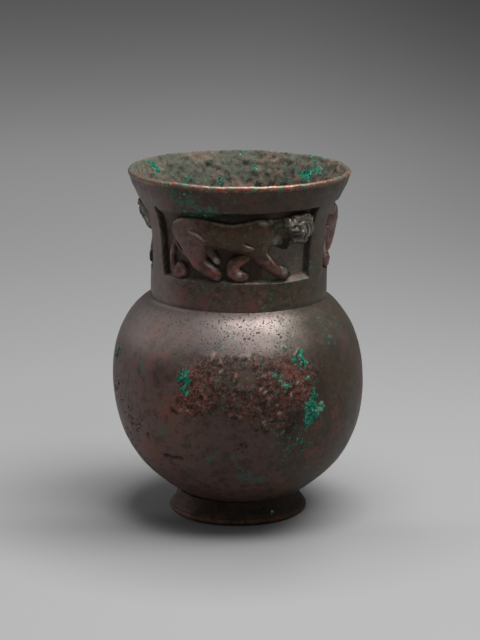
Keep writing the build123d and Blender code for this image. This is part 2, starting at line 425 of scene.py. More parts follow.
def patina(name, ground, olive, warm, gloss):
    """Old bronze: a smooth dark skin, red and green corrosion, painted highlights and painted shade where
    the masks say.
    """
    finish = Finish(name)
    cloud = finish.noise(24.0, 1, 4.0)
    mottle = finish.noise(6.0, 2, 5.0, 0.65)
    stain = finish.noise(3.4, 3, 4.0, 0.65)
    fleck = finish.noise(2.0, 4, 4.0, 0.6)
    green_fleck = finish.noise(1.9, 5, 3.0, 0.6)
    speck = finish.noise(1.0, 6, 3.0, 0.6)
    fine_pit = finish.noise(0.85, 7, 2.0, 0.5).between(0.58, 0.66)
    red = finish.mask("cuprite")
    scab = finish.mask("scab")
    hollow = finish.mask("hollow")
    worn = finish.mask("worn")
    pit = fine_pit * (finish.mask("pits") * 0.75 + 0.25)

    # Smooth skin, mottled and stained red
    olive_share = finish.mask("olive") + (cloud - 0.5) * 1.2
    tone = finish.mix(olive_share.between(0.25, 0.75), ground, olive)
    tone = finish.mix((cloud * 0.5 + mottle * 0.5).between(0.49, 0.62) * 0.8, tone, warm)
    tone = finish.mix(stain.between(0.52, 0.38) * 0.58, tone, dark_brown)
    tone = finish.mix((fleck * 0.7 + speck * 0.3).between(0.52, 0.62) * 0.7, tone, warm)
    red_share = (red + (mottle - 0.5) * 1.0 + (fleck - 0.5) * 1.3).between(0.46, 0.68)
    tone = finish.mix(red_share * 0.85, tone, cuprite_red)

    # Scab, flakes, pits, and worn places, which also carry painted highlights
    scab_tone = finish.mix((red + (mottle - 0.5) * 1.0).between(0.15, 0.75), scab_grey, scab_red)
    scab_tone = finish.mix((fleck * 0.45 + speck * 0.55).between(0.54, 0.40), scab_tone, scab_dark)
    scab_tone = finish.mix((speck * 0.7 + stain * 0.3).between(0.56, 0.62) * 0.75, scab_tone, pale_grit)
    tone = finish.mix(scab * (mottle * 0.6 + 0.55), tone, scab_tone)
    flake_share = (finish.mask("flake") + (speck - 0.5) * 0.8 + (fleck - 0.5) * 0.6).between(0.5, 0.8)
    tone = finish.mix(flake_share * 0.8, tone, salmon)
    tone = finish.mix(pit * 0.75, tone, pit_and_shade_black)
    wear_and_highlight_share = worn * ((fleck * 0.5 + speck * 0.5).between(0.34, 0.58) * 0.6 + 0.4)
    tone = finish.mix(wear_and_highlight_share, tone, wear_and_highlight_grey)

    # Coppery lip with pale and green specks
    lip_tone = finish.mix((stain * 0.5 + speck * 0.5).between(0.55, 0.44), copper_red, red_brown)
    lip_tone = finish.mix((speck * 0.8 + fleck * 0.2).between(0.54, 0.60) * 0.7, lip_tone, pale_copper)
    lip_green = (green_fleck * 0.75 + mottle * 0.25).between(0.51, 0.57)
    lip_tone = finish.mix(lip_green * 0.85, lip_tone, mid_malachite)
    lip_share = (finish.mask("lip") + (fleck - 0.5) * 1.2).between(0.40, 0.62)
    tone = finish.mix(lip_share * 0.9, tone, lip_tone)

    # Earthy crust, then dark places, which carry painted shade as well as darker patina, and hollows,
    # where real pits and painted shade go near black
    earth_tone = finish.mix((mottle * 0.6 + cloud * 0.4).between(0.42, 0.55), earth, green_earth)
    earth_tone = finish.mix((stain * 0.6 + speck * 0.4).between(0.51, 0.36), earth_tone, dark_earth)
    crust_share = (finish.mask("crust") + (mottle - 0.5) * 0.7).between(0.35, 0.65)
    tone = finish.mix(crust_share, tone, earth_tone)
    tone = finish.mix(finish.mask("dark") * (mottle * 0.8 + 0.6), tone, dark_brown)
    tone = finish.mix(hollow * (speck * 0.4 + 0.6), tone, pit_and_shade_black)

    # Greens: scattered flecks, thin films and thick crusts
    fleck_share = finish.mask("verdigris") * (green_fleck * 0.6 + speck * 0.4).between(0.54, 0.61)
    fleck_tone = finish.mix(stain.between(0.40, 0.60), malachite_green, mid_malachite)
    tone = finish.mix(fleck_share * 0.75, tone, fleck_tone)
    teal_share = finish.mask("teal") + (fleck - 0.5) * 1.3 + (speck - 0.5) * 1.3
    tone = finish.mix(teal_share.between(0.36, 0.80) * 0.68, tone, dull_teal)
    mid_share = (fleck * 0.45 + speck * 0.55).between(0.43, 0.57)
    green_tone = finish.mix(mid_share, malachite_green, mid_malachite)
    pale_share = (speck * 0.5 + green_fleck * 0.5).between(0.53, 0.62) * 0.8
    green_tone = finish.mix(pale_share.larger(worn * 0.75), green_tone, pale_malachite)
    green_edge = (stain - 0.5) * 0.5 + (fleck - 0.5) * 0.7 + (speck - 0.5) * 0.5
    green_share = (finish.mask("malachite") + green_edge).between(0.46, 0.55)
    tone = finish.mix(green_share, tone, green_tone)

    # Roughness, relief and polish
    rugged = green_share.larger(crust_share).larger(scab * 0.7).larger(finish.mask("dull"))
    rough = gloss + (mottle - 0.5) * 0.3 + (speck - 0.5) * 0.15
    rough = rough + (0.85 - rough) * rugged.larger(hollow)
    relief = fleck * 0.22 + speck * 0.26 + stain * 0.24 - pit * 0.7
    relief = relief + rugged * (speck * 1.5 + fleck * 1.2)
    bare = (1 - rugged) * (1 - hollow) * (1 - pit)
    shine = finish.mask("polish") * bare * polish_strength
    return finish.surface({
        "Base Color": finish.add(shine, tone, bare_bronze),
        "Roughness": rough,
        "Metallic": (shine / (shine + skin_reflection)).larger(0.15),
        "IOR": skin_bend,
        "Normal": finish.bump(relief, skin_depth),
    })


vessel_skin = patina("vessel_patina", purple_brown, olive_brown, red_brown, 0.48)
figure_skin = patina("lion_patina", lion_red, lion_olive, lion_warm, 0.42)
head_skin = patina("lion_head_patina", head_grey, olive_brown, head_warm, 0.36)


# Bowl

def bowl_outline():
    """Bowl's section from the middle of its base, over the outside and back along the inside."""
    def belly(inset):
        """Lower half of the section."""
        turns = np.linspace(0, pi / 2, 200)
        width = belly_radius - inset
        drop = belly_drop - inset
        return np.column_stack([width * np.sin(turns), belly_height - drop * np.cos(turns)])

    def shoulder(side_inset, top_inset, last_radius):
        """Upper half of the section, up to a last radius."""
        width = belly_radius - side_inset
        rise = shoulder_rise - top_inset
        ups = np.linspace(0, shoulder_share(last_radius / width), 200)
        return np.column_stack([width * shoulder_share(ups), belly_height + rise * ups])

    outside = np.vstack([belly(0), shoulder(0, 0, seat_radius)[1:]])
    inside = np.vstack([belly(bowl_wall), shoulder(bowl_wall, shoulder_wall, bore_radius)[1:]])
    hidden = outside[:, 0] < foot_inner_radius
    hidden &= outside[:, 1] < belly_height
    rim = [(seat_radius, seat_height), (spigot_radius, seat_height), (spigot_radius, spigot_top)]
    rim += [(bore_radius, spigot_top), tuple(inside[-1])]
    return np.vstack([
        evenly(outside[hidden], 2.5),
        evenly(outside[~hidden], 0.74),
        evenly(rim, 2.0)[1:],
        evenly(inside[::-1], 2.6)[1:],
    ])


# Places on the bowl, the collar and the foot: azimuth, height, size and, if not round, squeeze

# Malachite on the bowl
bowl_malachite = [
    (-20.6, 78.6, 2.2), (-23.5, 76.4, 2.1), (-22.6, 73.4, 1.8), (-19.4, 76.4, 1.6), (-22.2, 70.4, 1.3),
    (-18.2, 69.2, 0.7), (33.6, 87.4, 2.1), (35.4, 85.0, 2.3), (33.6, 82.4, 1.2), (31.2, 85.4, 1.5),
    (26.7, 89.5, 1.0), (40.4, 79.4, 0.8), (36.8, 76.9, 1.3), (38.4, 67.2, 1.8), (37.3, 63.6, 2.6),
    (41.0, 60.8, 2.8), (37.0, 60.2, 2.6), (34.9, 57.3, 2.2), (38.4, 58.0, 2.2), (36.0, 55.2, 1.6),
    (17.9, 79.1, 0.8), (19.7, 78.5, 1.2), (22.4, 75.8, 1.3), (24.7, 74.2, 1.2), (20.6, 74.4, 0.9),
    (24.7, 79.0, 0.8), (-0.6, 76.2, 0.9), (8.4, 73.6, 0.8), (27.1, 49.4, 0.8), (32.2, 45.5, 1.2),
    (35.5, 42.3, 1.0), (30.6, 42.6, 0.7), (66.1, 97.1, 0.9), (-2.0, 96.8, 0.7), (118, 84, 3.2),
    (124, 79, 2.4), (163, 58, 2.8), (205, 74, 3.4), (211, 69, 2.2), (262, 52, 2.2), (178, 40, 2.0),
    (288, 80, 2.0), (142, 33, 1.6), (233, 92, 1.7),
]
# Thin teal films
bowl_teal = [
    (-12.0, 38.0, 2.2), (3.5, 29.4, 2.4, 0.8), (8.0, 28.0, 2.6, 0.7), (13.0, 26.6, 2.2),
    (-22.6, 33.7, 1.2), (-0.6, 76.2, 1.8), (8.4, 73.6, 1.4), (19.4, 71.5, 1.5), (24.7, 79.0, 1.6),
    (-46.0, 78.0, 2.0), (-33.0, 50.0, 2.4), (0.0, 40.0, 1.6), (5.0, 33.0, 1.6),
]
# Places strewn with green flecks
bowl_flecks = [
    (22, 77, 8), (35, 81, 7), (32, 46, 10), (-12, 75, 8), (-3, 97, 5), (-22, 52, 5), (4, 72, 8),
    (56, 94, 5),
]
# Scabby red zones
bowl_scabs = [
    (8, 76, 14, 0.6), (-13, 72, 10), (27, 74, 11), (18, 63, 9, 0.8), (180, 60, 18, 0.7), (255, 78, 9),
    (110, 48, 8),
]
# Where the scab is reddest
bowl_reds = [(-16, 74, 9), (28, 71, 13), (6, 64, 6), (180, 60, 18), (255, 78, 9)]
# Warm stains without relief
bowl_stains = [
    (-44.6, 98.6, 5), (-35, 86, 5), (-43, 80, 5), (-48, 91, 4), (25, 27, 5), (-30, 60, 9), (-48, 40, 9),
    (42, 52, 6), (52, 58, 6), (54, 46, 7), (44, 38, 7),
]
# Dark smudges round the scab
bowl_smudges = [
    (50, 97, 5), (40, 101, 3), (58, 88, 5), (-36, 77, 6), (-27, 84, 4), (42, 71, 5), (28, 58, 5),
    (25, 49, 4),
]
# Single pits
bowl_pits = [
    (-27.6, 61, 1.3), (-25.8, 60.2, 0.8), (4.2, 46.6, 0.8), (6.3, 45.8, 0.7), (2.6, 44.8, 0.6),
    (24.0, 51.0, 0.6), (-44.4, 46.6, 0.9), (128, 66, 1.6), (150, 47, 1.4), (222, 56, 1.7),
]
# Zones with many pits
bowl_pit_zones = [
    (-70, 83, 5), (-66, 64, 7), (-60, 56, 6), (-53, 49, 5), (-66, 40, 6), (-61, 29, 5), (4, 46, 3),
]
# Zones of fine pits in the skin
bowl_fine_pits = [(2, 98, 12, 0.5), (24, 96, 9), (-66, 66, 14), (-60, 44, 12)]
# A crack in the lower belly: azimuths and heights, at a radius
scar_radius = 53
bowl_scar = [(-36.7, 37.2), (-34.6, 37.6), (-32.0, 36.8), (-29.2, 37.4), (-26.6, 37.0)]
# Salmon flakes
bowl_salmon = [
    (-23.1, 62.0, 1.4), (-8.6, 87.6, 1.2), (-12.6, 71.8, 1.0), (-11.8, 69.8, 1.0), (-11.2, 68.0, 1.0),
    (-9.0, 66.9, 0.8), (2.1, 79.6, 1.0), (1.8, 77.4, 1.0), (3.3, 73.0, 0.8), (9.1, 69.5, 1.1),
    (17.1, 68.3, 1.0), (19.9, 65.3, 1.1), (22.0, 60.4, 1.8), (24.2, 58.6, 1.3), (-1.0, 61.6, 0.9),
    (2.6, 60.7, 1.1), (12.7, 62.7, 0.9), (1.2, 68.3, 0.8), (32.8, 66.2, 0.9), (26.7, 69.1, 0.7),
    (11.0, 83.4, 0.8), (29.0, 70.4, 0.7), (-5.6, 84.6, 0.8), (5.6, 61.8, 0.7),
]
# Pale crumbs
bowl_pale = [
    (7.9, 87.4, 0.9), (21.3, 61.6, 0.6), (14.2, 57.2, 0.7), (-20.3, 62.1, 0.6), (33.4, 86.0, 0.9),
    (19.7, 78.5, 0.8), (22.4, 75.6, 0.8), (24.0, 74.2, 0.7), (41.4, 60.6, 1.3), (42.4, 63.0, 0.9),
    (36.8, 76.9, 0.6), (22.6, 51.4, 0.7), (-20.4, 78.0, 0.7), (26.7, 69.4, 0.6), (13.6, 73.0, 0.7),
    (14.8, 71.0, 0.6), (30.6, 74.6, 0.6), (-5.0, 81.0, 0.6),
]
# A smooth round spot in the scab
bowl_disc = [(6.7, 77.8, 4.0)]
# How much fuller the hammered bowl is than a true round, at heights
round_heights = [12, 15, 18, 22, 27, 33, 40, 48, 56, 66, 78, 92, 98]
round_offsets = [-0.5, -0.5, -0.2, 0.4, 0.9, 1.1, 1.0, 0.65, 0.35, 0.2, -0.15, -0.2, 0.0]
# The bowl leans a little: how far its middle is off to the side at heights
lean_heights = [0, 12, 64, 96, 104]
lean_offsets = [0.5, 0.7, -0.4, -1.0, -0.7]
# A faint swelling round the shoulder
swell_radius = 45
swell_width = 3.2
# How far from the true outside a point still counts as outside
outside_depth = 0.7


def bowl_outer_face(radius, height):
    """Which points lie on the bowl's outside, clear of the foot."""
    out = np.minimum(radius / belly_radius, 1)
    belly = belly_height - belly_drop * np.sqrt(1 - out**2)
    shoulder = belly_height + shoulder_rise * shoulder_share(out)
    face = np.where(height < belly_height, belly, shoulder)
    return (np.abs(height - face) < outside_depth) & (radius > foot_inner_radius)


def shape_bowl(points, facing):
    """Dents, scabs, pits, crusts, painted shade and the slight lean of the bowl's outside."""
    radius = np.hypot(points[:, 0], points[:, 1])
    height = points[:, 2]
    azimuth = azimuth_of(points)
    right = points[:, 0] / np.maximum(radius, 1)
    outer = bowl_outer_face(radius, height)
    soft = grain(points, 9, 2, 1)
    dents = grain(points, 34, 2, 2)
    rough = grain(points, 2.6, 3, 4)
    crumb = grain(points, 1.3, 2, 5)
    pock = grain(points, 1.4, 2, 7)
    shaken = ragged(points, 61)

    # Scab and its plates
    scab = blend_step(0.16, 0.50, patches(points, bowl_scabs) + 0.20 * soft + 0.10 * rough)
    scab *= blend_step(90.5, 86.5, height + 2.5 * soft)
    scab *= 1 - 0.8 * blend_step(0.42, 0.58, patches(points, bowl_disc) + 0.10 * rough)
    gap, number = plates(points + 0.7 * rough[:, None], 2.0, 6)
    plate = scab * blend_step(0.04, 0.22, gap)
    flake = plate * blend_step(0.72, 0.86, number)
    missing = plate * blend_step(0.34, 0.16, number)

    # Green crusts, grains, pits and the crack
    green = patches(shaken, bowl_malachite) + 0.06 * rough + 0.10 * crumb
    nudged = points + 0.3 * (shaken - points)
    salmon_bits = blend_step(0.42, 0.58, patches(nudged, bowl_salmon) + 0.15 * crumb)
    pale_bits = blend_step(0.40, 0.60, patches(nudged, bowl_pale) + 0.30 * crumb)
    pock_zone = blend_step(0.34, 0.70, patches(points, bowl_pit_zones) + 0.25 * soft)
    pitted = blend_step(0.42, 0.68, patches(points, bowl_pits) + 0.30 * crumb)
    pitted = np.maximum(pitted, blend_step(0.36, 0.46, pock) * pock_zone)
    scar_line = [(radians(stop) * scar_radius, up) for stop, up in bowl_scar]
    scar_away = chain_distance(np.radians(azimuth) * scar_radius, height, scar_line)[0]
    scar = blend_step(1.3, 0.5, scar_away + 0.5 * crumb)

    # Relief, fuller round and lean
    lift = 0.40 * dents * blend_step(0, 5, seat_height - height) + 0.10 * soft
    lift += scab * (0.16 * rough + 0.07 * crumb) + 0.34 * flake * number - 0.30 * missing
    lift += 0.50 * blend_step(0.44, 0.66, green) * (1 + 0.6 * crumb)
    lift += 0.30 * np.maximum(salmon_bits, pale_bits)
    lift -= 0.75 * pitted + 0.6 * scar
    lift += 0.20 * np.exp(-(((radius - swell_radius) / swell_width) ** 2)) * (height > belly_height)
    lift *= outer * blend_step(0, 1.5, seat_height - height)
    moved = points + facing * lift[:, None]
    fuller = outer * np.interp(height, round_heights, round_offsets) / np.maximum(radius, 1)
    moved[:, :2] += points[:, :2] * fuller[:, None]
    moved[:, 0] += np.interp(height, lean_heights, lean_offsets)

    # Stains, painted shade on the belly's middle and right side, dark smudges and polish
    teal = patches(shaken, bowl_teal) + 0.20 * rough
    teal += 0.16 * blend_step(-0.2, -0.6, points[:, 0] / belly_radius) * blend_step(62, 84, height)
    red = 0.21 + 0.55 * scab * patches(points, bowl_reds) + 0.45 * patches(points, bowl_stains)
    seam = np.exp(-(((height - seat_height + 0.6) / 0.5) ** 2))
    seam *= blend_step(-24, -34, azimuth) * blend_step(-75, -60, azimuth)
    # Painted shade: the belly is darkened below the shoulder, from the middle round to the right
    front_painted_shade = 0.46 * blend_step(-0.55, 0.0, right) * blend_step(80, 66, height)
    front_painted_shade *= 1 - 0.8 * blend_step(36, 22, height)
    right_painted_shade = 0.42 * blend_step(0.45, 0.75, right) * blend_step(97, 85, height)
    smudge = 0.40 * blend_step(0.2, 0.8, patches(points, bowl_smudges) + 0.15 * soft)
    shoulder_shine = (0.78 - 0.04 * blend_step(-0.3, -0.6, right)) * blend_step(76, 93, height)
    shoulder_shine *= 1 - 0.75 * blend_step(0.36, 0.76, right)
    sideways = np.where(points[:, 0] < 0, -1.0, 0.45) * points[:, 0] / belly_radius
    side_shine = 0.19 * blend_step(0.5, 0.9, sideways)
    masks = {
        "malachite": green * outer,
        "teal": teal * outer,
        "verdigris": (patches(shaken, bowl_flecks) * 1.4 + 0.11) * outer,
        "cuprite": red * outer,
        "flake": np.maximum(flake * number * 0.75, salmon_bits) * outer,
        "worn": np.maximum(pale_bits, 0.6 * seam) * outer,
        "scab": scab * outer,
        "pits": patches(points, bowl_fine_pits) * outer,
        "crust": ~outer * 0.8,
        "hollow": np.maximum.reduce([pitted * 0.9, scar * 0.85, missing * 0.7]) * outer,
        "olive": blend_step(-0.1, 0.8, np.sin(np.radians(azimuth))),
        "dark": (np.maximum(front_painted_shade, right_painted_shade) + smudge) * outer,
        "polish": (0.04 + shoulder_shine + side_shine) * outer,
    }
    return moved, masks


# Neck collar

def neck_at(height, inset):
    """Radius of the collar's outer face at heights, inset from it."""
    turn = radians(flare_angle)
    round_radius = flare_radius + inset
    round_rise = round_radius * sin(turn)
    rise = np.clip(height - flare_start, 0, round_rise)
    curved = neck_radius + flare_radius - np.sqrt(round_radius**2 - rise**2)
    cone = np.maximum(height - flare_start - round_rise, 0) * tan(turn)
    return curved + cone


lip_height = jar_height - lip_round
lip_touch = lip_height - lip_round * sin(radians(flare_angle))
lip_radius = float(neck_at(lip_touch, 0)) - lip_round * cos(radians(flare_angle))


def collar_outline():
    """Collar's section: outside, lip, inside and the lap over the bowl's spigot."""
    heights = np.r_[seat_height, np.linspace(seat_height + 0.06, lip_touch, 300)]
    outside = np.column_stack([neck_at(heights, 0), heights])
    angles = np.radians(np.linspace(-flare_angle, 180 - inner_flare_angle, 40))
    lip = lip_round * np.column_stack([np.cos(angles), np.sin(angles)]) + (lip_radius, lip_height)
    turn = radians(inner_flare_angle)
    end_radius = bore_radius + inner_flare_radius * (1 - cos(turn))
    end_height = lip[-1][1] - (lip[-1][0] - end_radius) / tan(turn)
    bends = np.linspace(turn, 0, 60)
    start_height = end_height - inner_flare_radius * sin(turn)
    inner_round = np.column_stack([
        bore_radius + inner_flare_radius * (1 - np.cos(bends)),
        start_height + inner_flare_radius * np.sin(bends),
    ])
    inside = np.vstack([lip[-1:], inner_round])
    lap = [(bore_radius, start_height), (bore_radius, lap_top), (lap_radius, lap_top)]
    lap += [(lap_radius, seat_height), (neck_radius, seat_height)]
    return np.vstack([
        outside[:1],
        evenly(outside[1:], 0.46),
        evenly(lip, 0.42)[1:],
        evenly(inside, 0.95)[1:],
        evenly(lap, 2.2)[1:-1],
    ])


# The front panel's ends bulge, and the right end of its lower edge dips
left_end_bulge = 1.9
right_end_bulge = 0.9
lower_edge_dip = 0.9


def panel_side(azimuths, heights, name):
    """How far points lie along a panel, and how far inside its nearer end."""
    middle, arc = panels[name]
    across = np.radians(turn_between(azimuths, middle)) * neck_radius
    side = radians(arc / 2) * neck_radius - np.abs(across)
    if name == "front":
        up = np.clip((heights - panel_bottom) / (panel_top - panel_bottom), 0, 1)
        side = side + np.where(across < 0, left_end_bulge, right_end_bulge) * np.sin(pi * up)
    return across, side


def panel_edge(across, name):
    """Height of a panel's lower edge, which dips towards the right end of the front one."""
    return panel_bottom - lower_edge_dip * blend_step(6, 26, across) * (name == "front")


def ramp_height(across):
    """Height of the worn ramp on the front panel's lower edge, which grows to the right."""
    return 1.4 + 1.8 * blend_step(20, 34, across)


def panel_sink(azimuths, heights):
    """Depth of the sunk panels, as a share of their full depth."""
    sink = np.zeros(len(azimuths))
    for name in panels:
        across, side = panel_side(azimuths, heights, name)
        above_edge = heights - panel_edge(across, name)
        top_room = panel_top - heights
        walls = blend_step(-0.15, 0.55, side) * blend_step(-0.2, 0.5, above_edge)
        top_wall = blend_step(-0.1, 0.6, top_room)
        floor = np.ones(len(azimuths))
        if name == "front":
            upper_left = blend_step(-8, -30, across) * blend_step(9, 1, top_room)
            groove = np.exp(-(((side - 0.7) / 0.8) ** 2))
            floor -= 0.45 * upper_left * (1 - groove)
            fade = 0.6 + 3.5 * blend_step(-12, -32, across) * (1 - groove)
            top_wall = np.where(across < 0, blend_step(-0.1, fade, top_room), top_wall)
            floor -= 0.8 * blend_step(14, 26, across) * blend_step(1, 0, above_edge / ramp_height(across))
        sink = np.maximum(sink, walls * top_wall * floor)
    return sink


# Malachite on the collar's outside
collar_malachite = [
    (-31, 150.5, 0.8), (-26, 149.6, 0.7), (-21, 151.2, 0.9), (-16, 150.2, 0.8), (-29, 157.5, 0.9),
    (-27, 160.0, 0.6), (-28, 154.0, 0.9), (-59, 107.2, 0.9), (-57, 105.8, 0.6), (150, 112, 1.8),
    (200, 156, 1.6), (232, 109, 1.4), (55, 124, 0.6), (-34, 160.6, 0.7), (-24, 161.6, 0.7),
    (22, 161.4, 0.8), (30, 161.0, 0.6),
]
# Thin teal films
collar_teal = [
    (-30, 155, 3.0), (-22, 151.5, 3.0), (-14, 150.4, 2.6), (-8, 151.6, 2.0), (-34, 160, 1.6),
    (-24, 157, 2.2), (-52, 152, 2.4), (-60, 106, 2.0), (18, 107, 1.2), (24, 112, 1.2), (-22, 115, 1.4),
]
# Places strewn with green flecks
collar_flecks = [
    (-28, 155, 7), (-14, 150, 7), (-5, 153, 5), (-8, 116, 6), (14, 116, 7), (30, 116, 6), (-32, 117, 5),
    (-62, 108, 6), (20, 108, 8), (60, 118, 6), (-75, 160, 8), (70, 160, 8),
]
# Malachite inside the rim
rim_malachite = [
    (-118.6, 161.2, 2.0), (-119.3, 158.6, 2.1), (-116.8, 162.2, 1.8), (138.4, 157.0, 2.4),
    (131.1, 157.9, 2.8), (133.0, 154.8, 2.2), (127.5, 159.4, 1.8), (-171.4, 158.4, 1.0),
    (-165.5, 150.2, 1.5), (-141.7, 151.2, 1.4), (-146.4, 151.4, 1.0), (173.0, 156.1, 1.1),
    (164.0, 155.5, 1.0), (20, 156, 2.2), (-30, 152, 2.4), (84, 158, 2.6), (-86, 159, 2.2),
    (-177.9, 164.0, 1.2), (178.2, 164.0, 1.0), (139.4, 164.0, 1.1), (128.8, 164.0, 1.2),
    (136.3, 163.6, 0.9),
]
# Pink spots on the edge of the rim
rim_pink = [
    (-158.5, 164.0, 1.3), (-162.6, 164.2, 1.3), (167.9, 164.2, 1.2), (163.8, 164.0, 1.2),
    (-107.6, 164.2, 1.4), (-150, 164.0, 0.9), (152.0, 163.4, 1.2), (146, 163.8, 0.8), (-128, 164, 1.0),
    (-97, 164, 1.2), (100, 164, 1.2), (112, 164, 0.9), (40, 164, 1.0),
]
# Warts in the crust inside the rim
inner_warts = [
    (173.0, 154.9, 1.5), (164.0, 154.3, 1.4), (-124.6, 158.0, 1.2), (178, 160.4, 1.8),
    (-158.5, 160.2, 1.8), (151.3, 161.6, 1.6), (137.3, 160.0, 1.6), (-140, 159.4, 1.6), (-95, 156, 1.1),
    (98, 156, 1.1), (-110, 152, 1.0), (40, 157, 1.2),
]
# A gritty place inside the rim
inner_grit = [(110, 160, 5), (122, 161, 5), (98, 161, 5)]


def shape_collar(points, facing):
    """Sunk panels, worn edges with painted highlights, painted shade in and round the panels, a ragged lip
    and the crust inside the collar.
    """
    radius = np.hypot(points[:, 0], points[:, 1])
    height = points[:, 2]
    azimuth = azimuth_of(points)
    right = points[:, 0] / radius
    outer = (radius > neck_at(height, 0) - 0.25) & (height <= lip_touch + 0.01)
    outer &= height > seat_height + 0.01
    turned_in = facing[:, 0] * points[:, 0] + facing[:, 1] * points[:, 1] < 0
    inside = turned_in & (radius < neck_at(height, 0) - 0.5)
    dents = grain(points, 26, 2, 11)
    soft = grain(points, 6, 2, 12)
    rough = grain(points, 2.6, 3, 13)
    crumb = grain(points, 1.2, 2, 14)
    shaken = ragged(points, 71)

    # Lip, panels, crust and greens
    lip_edge = lip_touch - 0.9 + 0.7 * rough
    lip_reach = height + 1.6 * turned_in * blend_step(15, 42, points[:, 0])
    at_lip = blend_step(lip_edge - 0.3, lip_edge + 0.5, lip_reach)
    wander_across = 0.4 * grain(points, 9, 2, 15)
    wander_up = 0.25 * grain(points, 8, 2, 16)
    sink = panel_sink(azimuth + wander_across, height + wander_up) * outer
    crust = inside * blend_step(lap_top + 0.5, lap_top + 6, height)
    gap, number = plates(points + 0.8 * rough[:, None], 3.2, 18)
    lump = crust * blend_step(0.0, 0.45, gap) * number
    crevice = crust * blend_step(0.22, 0.02, gap)
    wart = blend_step(0.2, 0.9, patches(points, inner_warts))
    green_out = patches(shaken, collar_malachite) + 0.06 * rough + 0.10 * crumb
    green_in = patches(shaken, rim_malachite) + 0.10 * rough

    # Relief, sunk panels, and the rim's tilt
    below_lip = blend_step(jar_height + 0.2, jar_height - 5, height)
    lift = outer * (0.20 * dents + 0.06 * soft + 0.04 * rough * (1 - sink))
    lift += below_lip * crust * (0.65 * rough + 0.30 * crumb + 0.5 * lump + 1.2 * wart)
    lift += at_lip * (0.16 * rough + 0.10 * crumb) * (1 + 1.2 * blend_step(0, 30, points[:, 1]))
    lift += outer * 0.22 * blend_step(0.42, 0.72, green_out)
    lift *= blend_step(seat_height, seat_height + 1.2, height)
    panel_floor = neck_at(height, panel_depth) - neck_at(height, 0)
    level = np.column_stack([right, points[:, 1] / radius, np.zeros(len(points))])
    moved = points + facing * lift[:, None] + level * (panel_floor * sink)[:, None]
    at_side = radius > neck_radius - 1
    flush = 0.4 * blend_step(seat_height + 2.4, seat_height, height) * at_side
    flush *= 0.35 + 0.65 * blend_step(0.2, 0.6, np.abs(right))
    swell = 0.6 * outer * blend_step(145, 151, height) * blend_step(163, 158, height)
    moved += level * (swell - flush)[:, None]
    moved[:, 2] -= 0.5 * at_side * (height < seat_height + 0.01)
    tilt = -1.1 - 0.006 * points[:, 0] - 0.007 * points[:, 1] + 0.35 * grain(points, 14, 2, 17)
    moved[:, 2] += blend_step(150, jar_height, height) * tilt
    moved[:, 0] += 0.35 * blend_step(seat_height, jar_height, height)

    # Worn lower edges and ramp of the panels with painted highlights, and painted shade in their corners
    # and floors
    front = np.abs(turn_between(azimuth, 0)) < panels["front"][1] / 2 + 4
    across, side = panel_side(azimuth, height, "front")
    above_edge = height - np.where(front, panel_edge(across, "front"), panel_bottom)
    wall = 4 * sink * (1 - sink)
    # Painted highlight along the panels' upward-facing lower edge, which also gets green flecks
    ledge = np.exp(-(((above_edge - 0.1) / 0.7) ** 2)) * outer * (sink + wall > 0.05)
    ledge *= np.where(front, 0.8 + 0.2 * blend_step(-2, 12, across), 0.5) * (0.8 + 0.6 * rough)
    # Painted highlight on the pale ramp at the front panel's right end
    ramp = front * blend_step(15, 27, across) * blend_step(1.2, 0.4, above_edge / ramp_height(across))
    ramp *= blend_step(-0.1, 0.7, side) * outer * (above_edge > -0.2)
    # Painted shadow under the panels' top edge
    under_top = blend_step(5.0, 0.3, panel_top - height) * sink
    under_top *= np.where(front, blend_step(-22, -6, across), 1)
    # Painted shade in the grooves at the front panel's ends
    tall = blend_step(panel_bottom - 0.2, panel_bottom + 0.6, height)
    tall *= blend_step(panel_top, panel_top - 1.0, height)
    side_groove = outer * tall * blend_step(-0.5, 0.1, side) * blend_step(2.2, 1.2, side)
    # Painted shade on the panel floors
    front_dim = 0.6 * blend_step(18, 8, across) * (1 - 0.6 * blend_step(-20, -28, across))
    dim = np.where(front, front_dim, 0.3)
    # The hollow mask gathers these painted shades and also darkens the crust's crevices
    hollow = 0.5 * under_top + 0.9 * side_groove + 0.12 * crevice + dim * sink
    # Painted light on the right part of the front panel's floor, below its top
    floor_light = front * outer * sink * blend_step(10, 24, across)
    floor_light *= blend_step(panel_top - 4, panel_top - 12, height)

    # Sheen, painted shade on the band and inside the rim, and the lip
    sheen = 0.05 + 0.56 * blend_step(-0.5, -0.85, right) * (0.5 + 0.5 * blend_step(148, 132, height))
    sheen += 0.06 * blend_step(0.6, 0.9, right) + 0.13 * blend_step(seat_height + 8, seat_height, height)
